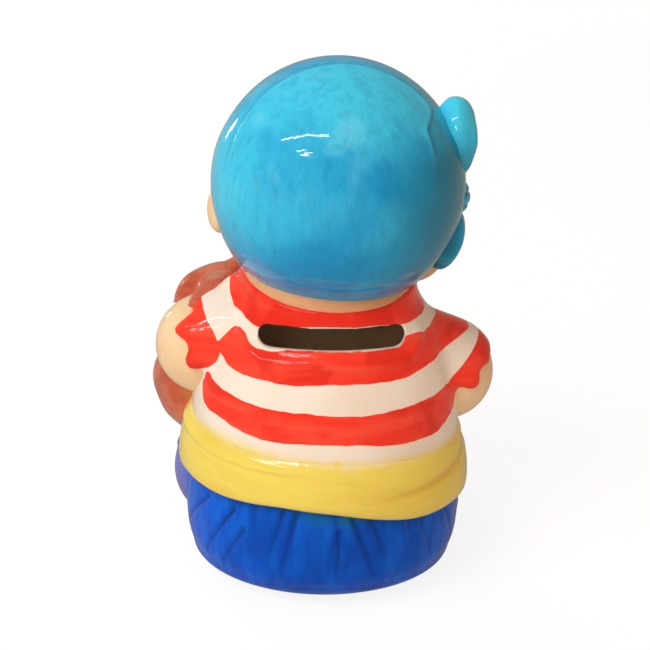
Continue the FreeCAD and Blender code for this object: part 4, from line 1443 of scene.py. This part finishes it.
# %% Ground
MIRRORED = (0.32, 0.27, 0.22, 1.0)
WHITE = (1.0, 1.0, 1.0, 1.0)
SKYLIGHT = (1.0, 0.88, 0.76, 1.0)
PALE_GROUND = (0.9, 0.86, 0.81, 1.0)
GROUND_HALF = 6000.0


def asking_rays(finish):
    """Whether a ray comes from the camera, from a reflection or from something clear."""
    path = finish.add("ShaderNodeLightPath").socket.node
    return [Level(finish, path.outputs[f"Is {ray} Ray"]) for ray in ("Camera", "Glossy", "Transmission")]


def ground_material():
    """A ground that shades softly near the figure and is plain white far away and clear from below."""
    finish = Finish("ground")
    seen, mirrored, through = asking_rays(finish)
    pale = finish.add("ShaderNodeBsdfDiffuse", {}, {"Color": PALE_GROUND})
    shade = finish.mix(mirrored, WHITE, MIRRORED)
    white = finish.add("ShaderNodeEmission", {}, {"Color": shade, "Strength": 1.08})
    x, y, z = finish.axes()
    distant = (x.squared() + y.squared()).step(250.0 ** 2, 1400.0 ** 2)
    share = (seen + mirrored + through) * (0.8 + distant * 0.2)
    lit = finish.add("ShaderNodeMixShader", {}, {0: share, 1: pale, 2: white})
    behind = finish.add("ShaderNodeNewGeometry", output="Backfacing")
    clear = finish.add("ShaderNodeBsdfTransparent")
    both = finish.add("ShaderNodeMixShader", {}, {0: behind, 1: lit, 2: clear})
    finish.add("ShaderNodeOutputMaterial", {}, {"Surface": both})
    return finish.owner


bm = bmesh.new()
bmesh.ops.create_grid(bm, x_segments=1, y_segments=1, size=GROUND_HALF)
ground = clay(bm, "ground")
ground.data.transform(Matrix.Scale(MM, 4))
ground.data.materials.append(ground_material())
print("ground:", 2 * GROUND_HALF * MM, "metres wide")

# %% Sky
sky = Finish("studio", bpy.data.worlds.new("studio"))
seen, mirrored, through = asking_rays(sky)
soft = sky.add("ShaderNodeBackground", {}, {"Color": SKYLIGHT, "Strength": 0.22})
mirror = sky.add("ShaderNodeBackground", {}, {"Color": MIRRORED})
white = sky.add("ShaderNodeBackground", {}, {"Color": WHITE})
unseen = sky.add("ShaderNodeMixShader", {}, {0: mirrored, 1: soft, 2: mirror})
shown = sky.add("ShaderNodeMixShader", {}, {0: seen.most(through), 1: unseen, 2: white})
sky.add("ShaderNodeOutputWorld", {}, {"Surface": shown})
bpy.context.scene.world = sky.owner
print("sky:", len(sky.tree.nodes), "nodes")

# %% [markdown]
# ## Lamps
# A large lamp lights the figure from the upper left, a warm one fills the right side, one serves the
# front, and one reaches into the slot. They don't show in the glaze. Three thin ceiling tubes and a rim
# lamp do, and draw its sharp lights.

# %% Soft lamps and tubes
MIDDLE = (0.0, 0.0, 0.08)
SOFT_LAMPS = (
    ("key", (0.75, 0.75, 1.05), MIDDLE, (0.9, 0.7), 11.1, (1.0, 1.0, 1.0)),
    ("fill", (-0.75, 0.6, 0.85), MIDDLE, (0.8, 0.8), 2.8, (1.0, 0.54, 0.3)),
    ("front", (0.5, -1.0, 0.8), MIDDLE, (0.7, 0.7), 6.0, (1.0, 1.0, 1.0)),
    ("inside", (0.22, 1.0, 0.5), (0, 0.02, 0.077), (0.2, 0.2), 0.9, (1.0, 0.74, 0.52)),
)
CEILING = 1.08
TUBES = (((1.04, 0.39), (0.19, 0.59)), ((1.01, 0.84), (0.76, 0.895)), ((0.96, 1.0), (0.70, 1.045)))
TUBE_WIDTH = 0.02
TUBE_POWER = 2.2


def lamp(name, place, aim, size, power, colour=(1, 1, 1)):
    """A flat lamp that looks at a point; sizes in metres."""
    light = bpy.data.lights.new(name, "AREA")
    light.shape = "RECTANGLE"
    light.size, light.size_y = size
    light.energy = power
    light.color = colour
    obj = bpy.data.objects.new(name, light)
    bpy.context.scene.collection.objects.link(obj)
    way = Vector(aim) - Vector(place)
    obj.matrix_world = Matrix.Translation(place) @ way.to_track_quat("-Z", "Y").to_matrix().to_4x4()
    return obj


for settings in SOFT_LAMPS:
    lamp(*settings).visible_glossy = False
lamp("rim", (0.62, -0.9, 0.2), MIDDLE, (0.06, 0.12), 0.2)
for i, ends in enumerate(TUBES):
    start, end = [Vector((*point, CEILING)) for point in ends]
    middle, length = start.lerp(end, 0.5), (end - start).length
    tube = lamp(f"tube_{i}", middle, MIDDLE, (length, TUBE_WIDTH), TUBE_POWER * length)
    out = (middle - Vector(MIDDLE)).normalized()
    along = (end - start - out * (end - start).dot(out)).normalized()
    turn = Matrix((along, out.cross(along), out)).transposed().to_4x4()
    tube.matrix_world = Matrix.Translation(middle) @ turn
print("lamps:", len(SOFT_LAMPS), "soft ones,", len(TUBES), "tubes and a rim light")

# %% [markdown]
# ## Camera
# The camera looks down on the figure's back from a little to its right, through a long lens. It is rolled
# a little, because the figure leans in the photograph while it stands level here.

# %% The photograph's view
VIEW_AZIMUTH = math.radians(176.0)
VIEW_RISE = math.radians(22.0)
VIEW_DISTANCE = 0.520
VIEW_ROLL = math.radians(1.6)
VIEW_AIM = Vector((0, 0, 0.0705))
FOCAL_PIXELS = 1857.0
FRAME_PIXELS = 650
AIM_PIXEL = 327
SENSOR = 36.0

flat = math.cos(VIEW_RISE)
away = Vector((math.sin(VIEW_AZIMUTH) * flat, -math.cos(VIEW_AZIMUTH) * flat, math.sin(VIEW_RISE)))
camera_data = bpy.data.cameras.new("camera")
camera_data.sensor_width = SENSOR
camera_data.lens = FOCAL_PIXELS / FRAME_PIXELS * SENSOR
camera_data.shift_x = (FRAME_PIXELS / 2 - AIM_PIXEL) / FRAME_PIXELS
camera_data.shift_y = (AIM_PIXEL - FRAME_PIXELS / 2) / FRAME_PIXELS
camera_data.clip_start = 0.01
camera = bpy.data.objects.new("camera", camera_data)
bpy.context.scene.collection.objects.link(camera)
turn = away.to_track_quat("Z", "Y").to_matrix().to_4x4() @ Matrix.Rotation(VIEW_ROLL, 4, "Z")
camera.matrix_world = Matrix.Translation(VIEW_AIM + away * VIEW_DISTANCE) @ turn
bpy.context.scene.camera = camera
bpy.context.scene.view_settings.view_transform = "Standard"
print("camera:", round(camera_data.lens), "mm lens")
